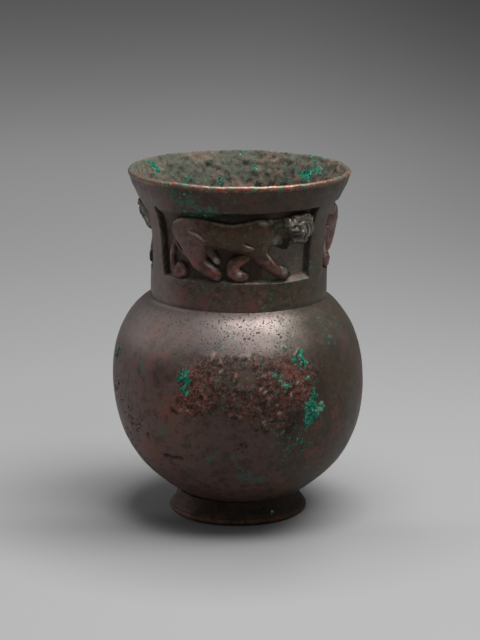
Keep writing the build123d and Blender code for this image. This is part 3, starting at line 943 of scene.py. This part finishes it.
    # Painted shade on the outer band except its far left, more towards the top, and inside the rim below
    # its edge, more on the right
    outer_painted_shade = blend_step(-0.8, -0.45, right) * (0.24 + 0.24 * blend_step(140, 150, height))
    inner_painted_shade = (0.12 + 0.25 * blend_step(0.0, 0.5, right)) * blend_step(162, 155, height) + 0.08
    either_end = np.maximum(blend_step(0.3, 0.8, right), blend_step(-0.4, -0.8, right))
    inner_edge = jar_height - 2.2 - 1.6 * either_end
    inner_lip = blend_step(inner_edge, inner_edge + 1.4, height + 0.8 * rough)
    inner_lip *= 0.55 + 0.28 * either_end
    rim_grit = 0.6 * inside * blend_step(0.2, 0.6, patches(points, inner_grit) + 0.3 * crumb)
    lip_line = at_lip * blend_step(0.35, 0.6, facing[:, 2]) * blend_step(0.98, 0.88, facing[:, 2])
    lip_light = 0.10 * at_lip + 0.45 * lip_line * (1 - inside)
    red = 0.22 + 0.20 * dents + 0.24 * blend_step(119, 112, height)
    masks = {
        "malachite": np.where(inside, green_in, green_out),
        "verdigris": patches(shaken, collar_flecks) * 1.7 + 0.05 + 0.7 * inside + 0.6 * ledge,
        "teal": (patches(shaken, collar_teal) + 0.15 * rough) * outer,
        "flake": inside * blend_step(0.40, 0.60, patches(points, rim_pink) + 0.2 * crumb),
        "dark": np.maximum(outer * outer_painted_shade, inside * inner_painted_shade),
        "cuprite": outer * red * (1 - 0.8 * sink),
        "crust": crust,
        "hollow": np.clip(hollow, 0, 1) * (1 - ramp),
        "worn": np.maximum.reduce([ledge, 0.6 * ramp, 0.26 * floor_light, rim_grit]),
        "lip": at_lip * np.where(inside, inner_lip, 1),
        "olive": np.maximum(blend_step(-0.3, 0.7, np.sin(np.radians(azimuth))), 0.5 * outer),
        "polish": np.maximum(outer * sheen * (1 - 0.7 * sink), lip_light),
    }
    return moved, masks


# Foot ring

def foot_outline():
    """Foot's section: inside, resting face, rounded lip, hollow side and its seat on the bowl."""
    def underside(radii):
        return belly_height - belly_drop * np.sqrt(1 - (radii / belly_radius) ** 2)

    lip_top = np.array([foot_radius - foot_lip_round, foot_lip_height])
    waist = np.array([foot_waist_radius, float(underside(np.array(foot_waist_radius)))])
    shares = np.linspace(0, 1, 30)[:, None]
    side = lip_top + (waist - lip_top) * shares
    side[:, 0] -= foot_hollow * 4 * shares[:, 0] * (1 - shares[:, 0])
    rounds = np.radians(np.linspace(-90, 90, 16))
    half = foot_lip_height / 2
    lip = np.column_stack([foot_radius - half + half * np.cos(rounds), half + half * np.sin(rounds)])
    seat_radii = np.linspace(foot_waist_radius, foot_inner_radius, 8)
    seat = np.column_stack([seat_radii, underside(seat_radii)])
    return np.vstack([
        evenly([(foot_inner_radius, 0), tuple(lip[0])], 0.9),
        evenly(lip, 0.45)[1:],
        evenly(side, 0.5),
        evenly(seat, 1.2)[1:],
        evenly([tuple(seat[-1]), (foot_inner_radius, 0)], 1.5)[1:-1],
    ])


# Malachite on the foot
foot_malachite = [(-40, 6, 0.8), (35, 5, 0.8), (140, 5, 1.2), (230, 6, 1.0)]
# The foot spreads a little past its solid, as a share, and sits a little to the left
foot_spread = 0.022
foot_shift = 0.5


def shape_foot(points, facing):
    """Uneven lip and worn side of the foot ring, with painted shade on the foot."""
    radius = np.hypot(points[:, 0], points[:, 1])
    height = points[:, 2]
    rough = grain(points, 2.2, 3, 21)
    dents = grain(points, 15, 2, 22)
    fade = blend_step(0.05, 1.0, height) * (radius > foot_inner_radius + 0.1)
    fade *= blend_step(0.1, 1.5, foot_high.z - height)
    moved = points + facing * (fade * (0.16 * rough + 0.30 * dents))[:, None]
    moved[:, :2] *= (1 + foot_spread * fade)[:, None]
    moved[:, 0] -= foot_shift * fade
    lip = blend_step(foot_lip_height + 0.6, foot_lip_height - 0.8, height)
    above_lip = blend_step(foot_lip_height - 0.8, foot_lip_height + 1.5, height)
    left_side = blend_step(0.5, 0.85, -points[:, 0] / radius)
    masks = {
        "malachite": patches(points, foot_malachite),
        "cuprite": 0.12 + 0.30 * lip + 0.2 * dents,
        "crust": (radius < foot_inner_radius + 0.2) * 0.7,
        # Painted shade over the whole foot, deepest on its side above the lip and lighter on its left
        "hollow": 0.30 + 0.55 * above_lip - 0.5 * left_side,
        "olive": blend_step(-0.9, 0.2, points[:, 0] / radius),
        "dull": 0.75 - 0.6 * left_side,
        "polish": 0.06 * left_side,
    }
    return moved, masks


# Lions: limbs as (across, height, half width, relief) in millimetres on the front panel

lion_barrel = [
    (-22.4, 140.4, 7.5, 5.2), (-16.5, 140.6, 7.2, 5.2), (-9.0, 139.9, 6.8, 4.9), (-1.0, 138.7, 6.6, 4.6),
    (5.4, 138.6, 7.8, 5.0), (10.8, 139.9, 7.9, 5.4),
]
lion_mane = [
    (15.5, 140.8, 6.6, 2.9), (19.5, 141.0, 6.6, 2.3), (22.5, 139.2, 6.2, 2.3), (24.2, 136.8, 4.4, 2.2),
]
lion_hind_leg = [
    (-21.4, 139.0, 6.8, 5.5), (-18.9, 133.7, 6.3, 5.5), (-17.4, 129.3, 4.7, 4.9), (-16.3, 126.6, 3.9, 4.5),
    (-11.4, 123.0, 3.2, 3.9), (-8.0, 121.1, 2.6, 3.4),
]
lion_haunch = [
    (-28.4, 136.6, 1.6, 3.2), (-26.6, 133.2, 1.4, 3.0), (-23.4, 130.2, 1.3, 3.0),
    (-20.6, 128.6, 1.2, 3.0),
]
lion_far_hind_leg = [(-11.2, 132.2, 2.4, 2.7), (-9.2, 129.6, 2.1, 2.5), (-7.8, 127.7, 1.8, 2.4)]
lion_foreleg = [
    (9.8, 134.6, 5.6, 5.3), (12.0, 129.6, 3.6, 5.0), (15.2, 126.2, 3.0, 4.6), (19.2, 123.1, 2.6, 4.2),
    (22.0, 121.8, 3.0, 4.2), (23.6, 121.1, 2.8, 3.8),
]
lion_far_foreleg = [
    (5.4, 129.6, 2.2, 2.2), (2.2, 128.0, 2.8, 2.8), (-0.4, 126.6, 3.2, 3.2), (-0.9, 122.8, 3.0, 3.2),
    (1.4, 121.0, 2.8, 3.1), (4.3, 120.8, 2.4, 2.7),
]
lion_tail = [
    (-29.2, 136.0, 1.4, 2.4), (-31.4, 132.4, 1.2, 2.3), (-32.2, 128.8, 1.2, 2.2), (-31.8, 125.0, 1.4, 2.4),
    (-30.6, 121.6, 1.7, 2.8), (-29.2, 119.9, 1.8, 3.0), (-27.0, 119.7, 1.8, 3.2), (-24.9, 120.6, 1.7, 3.2),
    (-24.3, 122.6, 1.6, 3.2), (-25.4, 124.4, 1.5, 3.0), (-27.4, 124.9, 1.3, 2.8),
]
lion_tail_knob = [(-27.2, 122.2, 3.0, 3.5), (-26.8, 122.2, 3.0, 3.5)]
lion_limbs = [
    lion_far_hind_leg, lion_far_foreleg, lion_mane, lion_barrel, lion_haunch, lion_hind_leg, lion_foreleg,
    lion_tail, lion_tail_knob,
]
# Cuts and ridges: places, half width and height of the cut or ridge
lion_strokes = [
    ([(-18.6, 142.9), (-15.0, 141.5), (-11.6, 138.2)], 0.55, -0.8),
    ([(-18.6, 141.6), (-15.2, 140.2), (-12.0, 137.2)], 0.60, 0.7),
    ([(-17.8, 139.8), (-14.6, 138.2), (-12.4, 135.6)], 0.80, -0.5),
    ([(-27.6, 136.4), (-25.4, 133.3), (-22.6, 131.0)], 0.42, -1.2),
    ([(3.4, 137.2), (5.7, 136.2), (8.0, 135.2)], 0.50, -0.9),
    ([(3.6, 136.2), (5.7, 135.2), (7.8, 134.4)], 0.50, 0.45),
    ([(16.6, 147.4), (17.4, 141.6), (18.6, 136.0)], 0.55, -0.8),
    ([(21.6, 124.6), (21.9, 122.0)], 0.32, -0.8),
    ([(23.9, 122.8), (24.6, 120.2)], 0.32, -0.8),
    ([(3.2, 123.0), (3.9, 120.4)], 0.28, -0.6),
    ([(-7.4, 123.2), (-6.9, 120.6)], 0.28, -0.5),
    (
        [(-28.8, 123.2), (-27.2, 123.7), (-25.8, 122.9), (-25.8, 121.4), (-27.2, 120.9), (-28.4, 121.6)],
        0.38,
        -0.9,
    ),
]
# Head: lumps as limbs, then cuts and ridges
head_lumps = [
    [(28.2, 141.4, 4.2, 4.6), (29.4, 141.2, 5.8, 6.5), (31.8, 141.0, 5.8, 6.4), (34.0, 140.4, 4.4, 4.8)],
    [(24.6, 133.0, 0.8, 2.5), (25.6, 135.6, 1.0, 3.0), (26.8, 138.4, 1.8, 4.0)],
    [(27.6, 137.4, 2.8, 6.0), (31.0, 136.9, 2.8, 6.0)],
    [(22.5, 146.9, 1.2, 4.8), (23.3, 144.5, 1.7, 5.6), (24.9, 145.3, 2.2, 6.0)],
    [(26.0, 146.6, 2.0, 5.0), (29.0, 147.0, 2.2, 4.8), (32.4, 146.8, 2.2, 4.4), (34.6, 145.4, 2.0, 4.2)],
]
head_strokes = [
    ([(21.5, 147.2), (22.3, 145.8), (23.2, 144.0)], 0.75, 0.7),
    ([(23.4, 143.6), (24.5, 144.2), (26.2, 143.6), (27.4, 142.2)], 0.42, -1.0),
    ([(25.0, 142.5), (25.8, 142.3)], 1.00, 0.9),
    ([(24.0, 141.2), (25.6, 140.7), (27.2, 141.0)], 0.42, -0.9),
    ([(28.3, 141.4), (28.4, 141.0)], 0.80, 0.8),
    ([(27.4, 143.8), (27.6, 141.8), (27.4, 139.8)], 0.38, -0.7),
    ([(24.4, 139.4), (26.0, 139.0), (28.0, 139.3)], 0.60, -1.1),
    ([(29.8, 144.4), (31.1, 141.8), (31.3, 139.4)], 0.42, -0.9),
    ([(31.6, 145.4), (33.0, 142.6), (33.0, 139.6)], 0.40, -0.9),
    ([(29.8, 141.0), (30.6, 138.8), (30.2, 136.8)], 0.40, -0.8),
    ([(33.6, 145.2), (34.8, 142.0), (34.2, 138.8)], 0.36, -0.7),
    ([(25.4, 138.0), (25.9, 135.6), (24.3, 132.2)], 0.42, 1.0),
    ([(24.6, 138.6), (24.4, 136.4), (23.6, 133.4)], 0.36, -0.8),
]
# Painted highlight along the lion's back
back_across = [-28, -25, -21, -15.8, -10, -5.3, -0.6, 5.4, 9.1, 12.8, 16]
back_height = [143.6, 146.0, 147.2, 147.3, 146.4, 145.4, 144.7, 145.9, 147.1, 147.6, 147.0]
# How deep a figure's back sits in the panel's floor
sunk_back = 1.3
# How far each lion's head is raised
head_raise = {"front": 0.0, "right": 0.0, "left": 1.4}
# Painted highlights along edges that face the light
lion_glints = [
    [(-18.6, 141.6), (-15.2, 140.2), (-12.4, 137.6)],
    [(-12.6, 127.4), (-9.8, 125.2), (-7.2, 123.6)],
    [(-8.6, 129.6), (-7.2, 128.0)],
    [(3.6, 136.4), (5.7, 135.4), (7.8, 134.4)],
    [(13.6, 131.6), (15.4, 129.4), (17.4, 127.0)],
    [(20.4, 125.0), (22.0, 124.2)],
    [(1.4, 123.8), (3.4, 122.8)],
    [(-32.0, 132.0), (-32.6, 128.0), (-32.2, 124.0)],
]
# Painted highlights along the jaw, the right edge and ridges of the head
head_glints = [
    [(25.4, 138.0), (25.9, 135.6), (24.3, 132.2)],
    [(36.2, 143.0), (35.6, 139.8), (33.8, 136.4)],
    [(29.2, 143.6), (30.0, 142.0), (30.4, 140.2)],
    [(32.2, 143.0), (32.3, 140.8), (31.8, 138.6)],
]
# Spots on a lion's body: across, height and size
# Painted highlights on the chest and toes
chest_highlight = [(18.6, 137, 1.6), (12.6, 147.6, 1.7), (15.2, 147.4, 1.5)]
toe_highlight = [(23.1, 123.0, 1.5), (2.1, 123.0, 1.2), (-8.0, 128.0, 1.0)]
lion_reds = [
    (0.5, 124.5, 3.5), (17.0, 127.6, 2.2), (-9.0, 122.6, 2.5), (-27, 121.5, 2.5), (-20, 128, 4),
    (-14.6, 138.8, 1.8), (6.4, 134.2, 1.5), (16.3, 128.4, 1.5), (-9.4, 123.4, 1.5),
]
lion_greens = [(14, 140, 5), (-19.5, 146.5, 4), (-6, 124, 3), (9, 136.5, 4), (16.5, 138, 4)]
lion_teals = [(-19.5, 147.2, 3), (-25.5, 124.6, 1.4)]
# Spots on a lion's head
# Painted highlights on the brow
brow_highlight = [(21.8, 147.0, 1.2), (23.2, 144.3, 1.2), (25.4, 142.5, 0.9), (28.4, 141.4, 0.6)]
faint_brow_highlight = [(24.0, 146.0, 2.2), (34.6, 145.2, 0.8)]
mouth_places = [(25.2, 139.4, 1.6), (27.4, 139.2, 1.5)]
dull_places = [(27.4, 145.3, 2.4), (25.4, 147.6, 1.6)]
# The face, and the gaps between locks of hair and between their tips
face_across = 25.0
face_height = 142.4
lock_gap = 2.3
tip_gap = 2.1
# Length that stands for the whole arc of the front lion
front_figure_length = 72.5
# Area that is carved, corner to corner, gap between its points and rounding where limbs meet
body_area = ((-34.5, 118.2), (30.5, 149.6))
body_gap = 0.25
body_rounding = 0.5
head_area = ((20.0, 130.5), (38, 150.6))
head_gap = 0.17
head_rounding = 0.35
# A limb's section: gap between sections, squareness, fullness and the slope outside it
limb_gap = 0.5
limb_squareness = 2.4
limb_fullness = 0.46
limb_slope = 2.2


def limb_height(across, up, stations):
    """Height of a limb's rounded back over the panel floor."""
    stations = np.array(stations)
    run = np.r_[0, np.cumsum(np.hypot(*np.diff(stations[:, :2], axis=0).T) + 1e-6)]
    stops = np.linspace(0, run[-1], max(2, int(run[-1] / limb_gap)))
    best = np.full(across.shape, -sunk_back)
    for stop in stops:
        x, y, half_width, relief = [np.interp(stop, run, stations[:, axis]) for axis in range(4)]
        out = np.hypot(across - x, up - y) / half_width
        rise = relief * (1 - np.minimum(out, 1) ** limb_squareness) ** limb_fullness
        fall = np.maximum(1 - out, -1) * half_width * limb_slope
        best = np.maximum(best, np.where(out < 1, rise, np.maximum(fall, -sunk_back)))
    return best


def soft_top(first, second, width):
    """Larger of two heights, rounded where they meet."""
    share = np.clip(0.5 + (first - second) / (2 * width), 0, 1)
    return first * share + second * (1 - share) + width * share * (1 - share)


def carved_height(across, up, lumps, strokes, rounding):
    """Height of a carved figure over the panel floor."""
    height = np.full(across.shape, -sunk_back)
    for stations in lumps:
        height = soft_top(height, limb_height(across, up, stations), rounding)
    inside = blend_step(0.2, 1.2, height)
    for stops, half_width, rise in strokes:
        away, along = chain_distance(across, up, stops)
        taper = np.maximum(np.sin(pi * along), 0.25) ** 0.7
        height = height + inside * rise * taper * np.exp(-((away / (half_width * taper)) ** 2))
    return height


def side_swell(side, across, up):
    """How proud a side lion stands against the front one."""
    if side == "left":
        head = blend_step(16, 22, across) * blend_step(130, 134, up)
        return 0.84 - head * (0.24 - 0.30 * blend_step(136, 148, up))
    if side == "right":
        return 1 + 0.12 * blend_step(-12, -20, across)
    return np.ones(across.shape)


def figure_arc(panel_arc):
    """Arc that a lion takes up in its panel, in degrees."""
    return panel_arc - 2 * degrees(figure_side_room / (neck_radius - panel_depth))


def carved_figure(side, area, gap, lumps, strokes, rounding):
    """Closed mesh of a figure on its panel, with its front carved and its back sunk in the floor."""
    middle, arc = panels[side]
    low, high = [Vector(corner) for corner in area]
    size = high - low
    place = Matrix.Translation(((high + low) / 2).to_3d())
    place @= Matrix.Diagonal((size.x, size.y, 1, 1))
    mesh = bmesh.new()
    columns = round(size.x / gap)
    rows = round(size.y / gap)
    bmesh.ops.create_grid(mesh, x_segments=columns, y_segments=rows, size=0.5, matrix=place)
    across, up = np.array([corner.co[:2] for corner in mesh.verts]).T
    raised = head_raise[side] * blend_step(13, 23, across) * blend_step(128, 136, up)
    height = carved_height(across, up - raised, lumps, strokes, rounding)
    height = np.where(height > 0, height * side_swell(side, across, up), height)
    for corner, relief in zip(mesh.verts, height.tolist()):
        corner.co.z = relief
    empty = [face for face in mesh.faces if max(corner.co.z for corner in face.verts) <= 0.01 - sunk_back]
    bmesh.ops.delete(mesh, geom=empty, context="FACES")
    back = bmesh.ops.extrude_face_region(mesh, geom=mesh.faces[:], use_keep_orig=True)
    back_corners = [part for part in back["geom"] if isinstance(part, bmesh.types.BMVert)]
    for corner in back_corners:
        corner.co.z = -sunk_back - 0.2
    flat = np.array([corner.co for corner in mesh.verts])
    turns = np.radians(middle + figure_arc(arc) * flat[:, 0] / front_figure_length)
    radii = neck_at(flat[:, 1], panel_depth) + flat[:, 2]
    placed = np.column_stack([radii * np.sin(turns), -radii * np.cos(turns), flat[:, 1]])
    for corner, spot in zip(mesh.verts, placed.tolist()):
        corner.co = spot
    bmesh.ops.recalc_face_normals(mesh, faces=mesh.faces)
    return mesh


def figure_across(points):
    """How far points lie along their own lion's panel, in millimetres on the front one."""
    azimuth = azimuth_of(points)
    across = np.zeros(len(points))
    for middle, arc in panels.values():
        turn = turn_between(azimuth, middle)
        length = turn * front_figure_length / figure_arc(arc)
        across = np.where(np.abs(turn) < arc / 2, length, across)
    return across


def figure_places(points):
    """Where points lie on their lion: along its panel, in height and over the panel's floor."""
    radius = np.hypot(points[:, 0], points[:, 1])
    up = points[:, 2]
    return figure_across(points), up, radius - neck_at(up, panel_depth)


def spots(across, up, places):
    """Greatest of many round spots on a figure, each given as across, height and size."""
    found = np.zeros(len(across))
    for x, y, size in places:
        found = np.maximum(found, np.clip(1 - np.hypot(across - x, up - y) / (2 * size), 0, 1))
    return found


def shape_figure(points, facing):
    """Corroded skin of a lion's body, with painted highlights on its edges and painted shade near the
    floor and in the mane.
    """
    across, up, lift = figure_places(points)
    rough = grain(points, 2.0, 3, 31)
    crumb = grain(points, 0.9, 2, 32)
    soft = grain(points, 7, 2, 33)
    mane = blend_step(16.5, 19.5, across + 0.25 * (up - 140))
    shown = blend_step(-0.6, 0.4, lift)
    skin = 0.09 * rough + 0.05 * crumb + 0.10 * soft + 0.4 * mane * rough
    moved = points + facing * (shown * skin)[:, None]
    # Painted highlights: a line along the back, glints on edges and spots on the chest and toes go into
    # the worn mask
    back_highlight = np.exp(-(((up - np.interp(across, back_across, back_height)) / 0.45) ** 2))
    back_highlight *= blend_step(0.5, 1.5, lift)
    glint = np.zeros(len(points))
    for line in lion_glints:
        away, along = chain_distance(across, up, line)
        taper = np.sin(pi * np.clip(along, 0.12, 0.88))
        glint = np.maximum(glint, blend_step(0.72, 0.2, away) * taper)
    chest = spots(across, up, chest_highlight)
    toes = spots(across, up, toe_highlight)
    low_shade = 0.85 * blend_step(1.8, 0.0, lift)
    mane_shade = 0.75 * mane * blend_step(140 + 4 * soft, 135, up)
    deep_skin = 0.30 * blend_step(0.1, -0.5, rough + 0.5 * crumb)
    masks = {
        "malachite": 0.18 + 0.16 * rough + 0.20 * blend_step(1.6, 0.2, lift),
        "verdigris": 0.36 + 0.6 * blend_step(2.0, 0.6, lift) + 0.6 * spots(across, up, lion_greens),
        "cuprite": 0.23 + 0.15 * soft + 0.15 * crumb + 0.55 * spots(across, up, lion_reds),
        "hollow": np.maximum(low_shade, mane_shade),
        "worn": np.maximum.reduce([0.5 * back_highlight, 0.75 * chest, 0.9 * toes, glint]),
        "dark": np.maximum(0.22 * mane, deep_skin),
        "teal": (0.36 + 0.30 * rough) * mane + 0.45 * spots(across, up, lion_teals),
        "olive": blend_step(-17, -6, across) * blend_step(126, 131, up),
        "polish": (0.05 + 0.14 * blend_step(-12, -20, across)) * (1 - mane),
    }
    return moved, masks


def shape_head(points, facing):
    """Combed and worn skin of a lion's head, with painted highlights and painted shade."""
    across, up, lift = figure_places(points)
    rough = grain(points, 1.5, 3, 41)
    lumps = grain(points, 3.4, 2, 42)
    shown = blend_step(-0.6, 0.4, lift)

    # Hair in locks round the face
    away = np.hypot(across - face_across, up - face_height)
    locks = np.sin(2 * pi * (away + 0.8 * rough) / lock_gap)
    locks *= blend_step(1.4, 2.4, away) * blend_step(23.6, 25.6, across)
    tips = np.sin(2 * pi * (0.7 * across + up + 0.6 * rough) / tip_gap)
    hair = locks * (0.55 + 0.45 * tips) * blend_step(1.5, 3.0, lift) * blend_step(30, 33, across)
    moved = points + facing * (shown * (0.22 * rough + 0.20 * hair + 0.25 * lumps))[:, None]

    # Painted highlights on edges and brow, painted shade in cuts, grooves, mouth, crown and lower face,
    # and worn high places
    edge_light = np.zeros(len(points))
    for line in head_glints:
        near = blend_step(0.6, 0.15, chain_distance(across, up, line)[0])
        edge_light = np.maximum(edge_light, near)
    cut = np.zeros(len(points))
    for line, width, rise in head_strokes:
        if rise < 0:
            near = blend_step(1.5 * width, 0.5 * width, chain_distance(across, up, line)[0])
            cut = np.maximum(cut, near)
    # Painted shade on the crown under the panel's top edge
    crown = blend_step(146.0, 147.4, up) * blend_step(26.4, 28.2, across)
    brow = np.maximum(spots(across, up, brow_highlight), 0.45 * spots(across, up, faint_brow_highlight))
    mouth = blend_step(0.15, 0.7, spots(across, up, mouth_places))
    groove = 0.35 * blend_step(0.0, -0.6, hair)
    shade = np.maximum.reduce([0.9 * blend_step(2.8, 0.6, lift), groove, 0.55 * cut, 0.6 * mouth])
    high_wear = 0.14 * blend_step(4.8, 6.6, lift + 0.7 * rough) * (1 - crown)
    masks = {
        "verdigris": 0.25 + 0.2 * rough,
        "cuprite": 0.10 + 0.1 * rough,
        "hollow": shade * (1 - 0.85 * edge_light),
        # Painted shade on the lower face and the crown
        "dark": np.maximum(0.55 * blend_step(140.6, 138.2, up + 0.8 * rough), 0.45 * crown),
        "worn": np.maximum.reduce([high_wear, 1.1 * brow, 0.5 * edge_light]),
        "polish": (0.26 + 0.3 * brow) * (1 - 0.85 * spots(across, up, dull_places)),
    }
    return moved, masks


for name, outline, steps, closed, shape, node in (
    ("bowl_shell", bowl_outline(), 416, False, shape_bowl, "bowl"),
    ("collar_shell", collar_outline(), 504, True, shape_collar, "neck_collar"),
    ("foot_shell", foot_outline(), 296, True, shape_foot, "foot_ring"),
):
    finish_piece(name, turned(outline, steps, closed), shape, vessel_skin, node)
for side in panels:
    body = carved_figure(side, body_area, body_gap, lion_limbs, lion_strokes, body_rounding)
    finish_piece(f"{side}_lion_relief", body, shape_figure, figure_skin, f"{side}_lion")
    head = carved_figure(side, head_area, head_gap, head_lumps, head_strokes, head_rounding)
    head_node = f"{side}_lion_head"
    finish_piece(f"{head_node}_relief", head, shape_head, head_skin, head_node)


# Solder and rivets keep their solids

def dull_metal(name, dark, pale, sheen):
    """Dull metal with an uneven oxide skin."""
    finish = Finish(name)
    mottle = finish.noise(2.5, 1, 4.0, 0.6)
    speck = finish.noise(0.7, 2, 3.0, 0.6)
    tone = finish.mix((mottle * 0.6 + speck * 0.4).between(0.40, 0.62), dark, pale)
    return finish.surface({
        "Base Color": tone,
        "Roughness": sheen + (speck - 0.5) * 0.3,
        "Metallic": 0.3,
        "Normal": finish.bump(mottle * 0.6 + speck * 0.4, 0.15),
    })


solder_skin = dull_metal("grey_solder", solder_dark, solder_pale, 0.55)
rivet_skin = dull_metal("earthy_rivets", dark_earth, earth, 0.75)
for node, skin in {
    "neck_solder": solder_skin,
    "foot_solder": solder_skin,
    "figure_rivets": rivet_skin,
    "head_rivets": rivet_skin,
}.items():
    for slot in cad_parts[node].material_slots:
        slot.material = skin


# Stage

# Floor paper in front of the jar, round it, far behind it, painted shade at its right, painted shadow
near_paper = colour(0.405, 0.405, 0.410)
mid_paper = colour(0.390, 0.390, 0.392)
far_paper = colour(0.475, 0.475, 0.475)
right_shade_paper = colour(0.21, 0.21, 0.21)
painted_shadow_paper = colour(0.02, 0.02, 0.02)
floor_radius = 6.0


def floor_paper():
    """Matt paper with painted shade to the right and a painted shadow in front of the foot."""
    finish = Finish("floor_paper")
    axes = finish.node("SeparateXYZ", {}, {0: finish.place})
    back = Amount(finish, axes["Y"])
    right = Amount(finish, axes["X"])
    tone = finish.mix(back.between(0.0, 0.4), near_paper, mid_paper)
    tone = finish.mix(back.between(0.5, 1.1), tone, far_paper)
    # Painted shade: the paper darkens to the right
    right_shade_share = right.between(-0.1, 0.3) * (back.between(0.0, 0.8) * 0.66 + 0.14)
    tone = finish.mix(right_shade_share, tone, right_shade_paper)
    # Painted shadow in front of the foot, wide and faint, then close and deep
    reach = right * right + back * back
    wide_painted_shadow = (1 - reach.between(0.002, 0.022)) * back.between(-0.005, -0.045)
    wide_painted_shadow = wide_painted_shadow * (1 - right.between(0.01, 0.06) * 0.55)
    tone = finish.mix(wide_painted_shadow * 0.30, tone, painted_shadow_paper)
    close_painted_shadow = (1 - reach.between(0.0012, 0.0036)) * back.between(-0.008, -0.030)
    close_painted_shadow = close_painted_shadow * (1 - right.between(0.01, 0.04) * 0.8)
    tone = finish.mix(close_painted_shadow * 0.55, tone, painted_shadow_paper)
    return finish.surface({"Base Color": tone, "Roughness": 0.9, "Specular IOR Level": 0.1})


def make_floor():
    """Wide round floor under the jar."""
    mesh = bmesh.new()
    bmesh.ops.create_circle(mesh, cap_ends=True, segments=96, radius=floor_radius)
    sheet = bpy.data.meshes.new("floor")
    mesh.to_mesh(sheet)
    mesh.free()
    floor = bpy.data.objects.new("floor", sheet)
    bpy.context.scene.collection.objects.link(floor)
    sheet.materials.append(floor_paper())


def make_lamp(name, place, aim, size, power):
    """Soft oblong lamp aimed at a point."""
    lamp = bpy.data.lights.new(name, "AREA")
    lamp.shape = "RECTANGLE"
    lamp.size, lamp.size_y = size
    lamp.energy = power
    holder = bpy.data.objects.new(name, lamp)
    holder.location = place
    holder.rotation_euler = (Vector(aim) - Vector(place)).to_track_quat("-Z", "Y").to_euler()
    bpy.context.scene.collection.objects.link(holder)


def make_world():
    """Even grey surroundings."""
    world = bpy.data.worlds.new("studio")
    world.use_nodes = True
    background = world.node_tree.nodes["Background"]
    background.inputs["Color"].default_value = colour(0.12, 0.12, 0.12)
    background.inputs["Strength"].default_value = 1.0
    bpy.context.scene.world = world


def make_camera():
    """Camera at the photograph's viewing angle."""
    azimuth = 2.75
    distance = 1.155
    height = 0.3675
    pitch = 13.45
    sideways = 0.00056
    turn = radians(azimuth)
    camera = bpy.data.objects.new("camera", bpy.data.cameras.new("camera"))
    camera.data.lens = 142.1
    camera.data.sensor_width = 36.0
    camera.location = (
        distance * sin(turn) + sideways * cos(turn),
        sideways * sin(turn) - distance * cos(turn),
        height,
    )
    camera.rotation_euler = (radians(90 - pitch), 0, turn)
    bpy.context.scene.collection.objects.link(camera)
    bpy.context.scene.camera = camera


make_floor()
make_world()
make_lamp("overhead_box", (0.34, -0.10, 1.25), (0.34, -0.10, 0.0), (1.15, 0.65), 20.0)
make_lamp("front_box", (0.50, -0.80, 1.15), (0.0, 0.0, 0.12), (0.5, 0.4), 1.9)
make_lamp("left_panel", (-1.50, 0.10, 0.85), (0.0, 0.0, 0.08), (2.2, 1.5), 4.5)
make_lamp("right_panel", (1.60, 0.90, 0.60), (0.0, 0.0, 0.08), (0.5, 1.0), 1.0)
make_camera()
bpy.context.scene.view_settings.view_transform = "Standard"
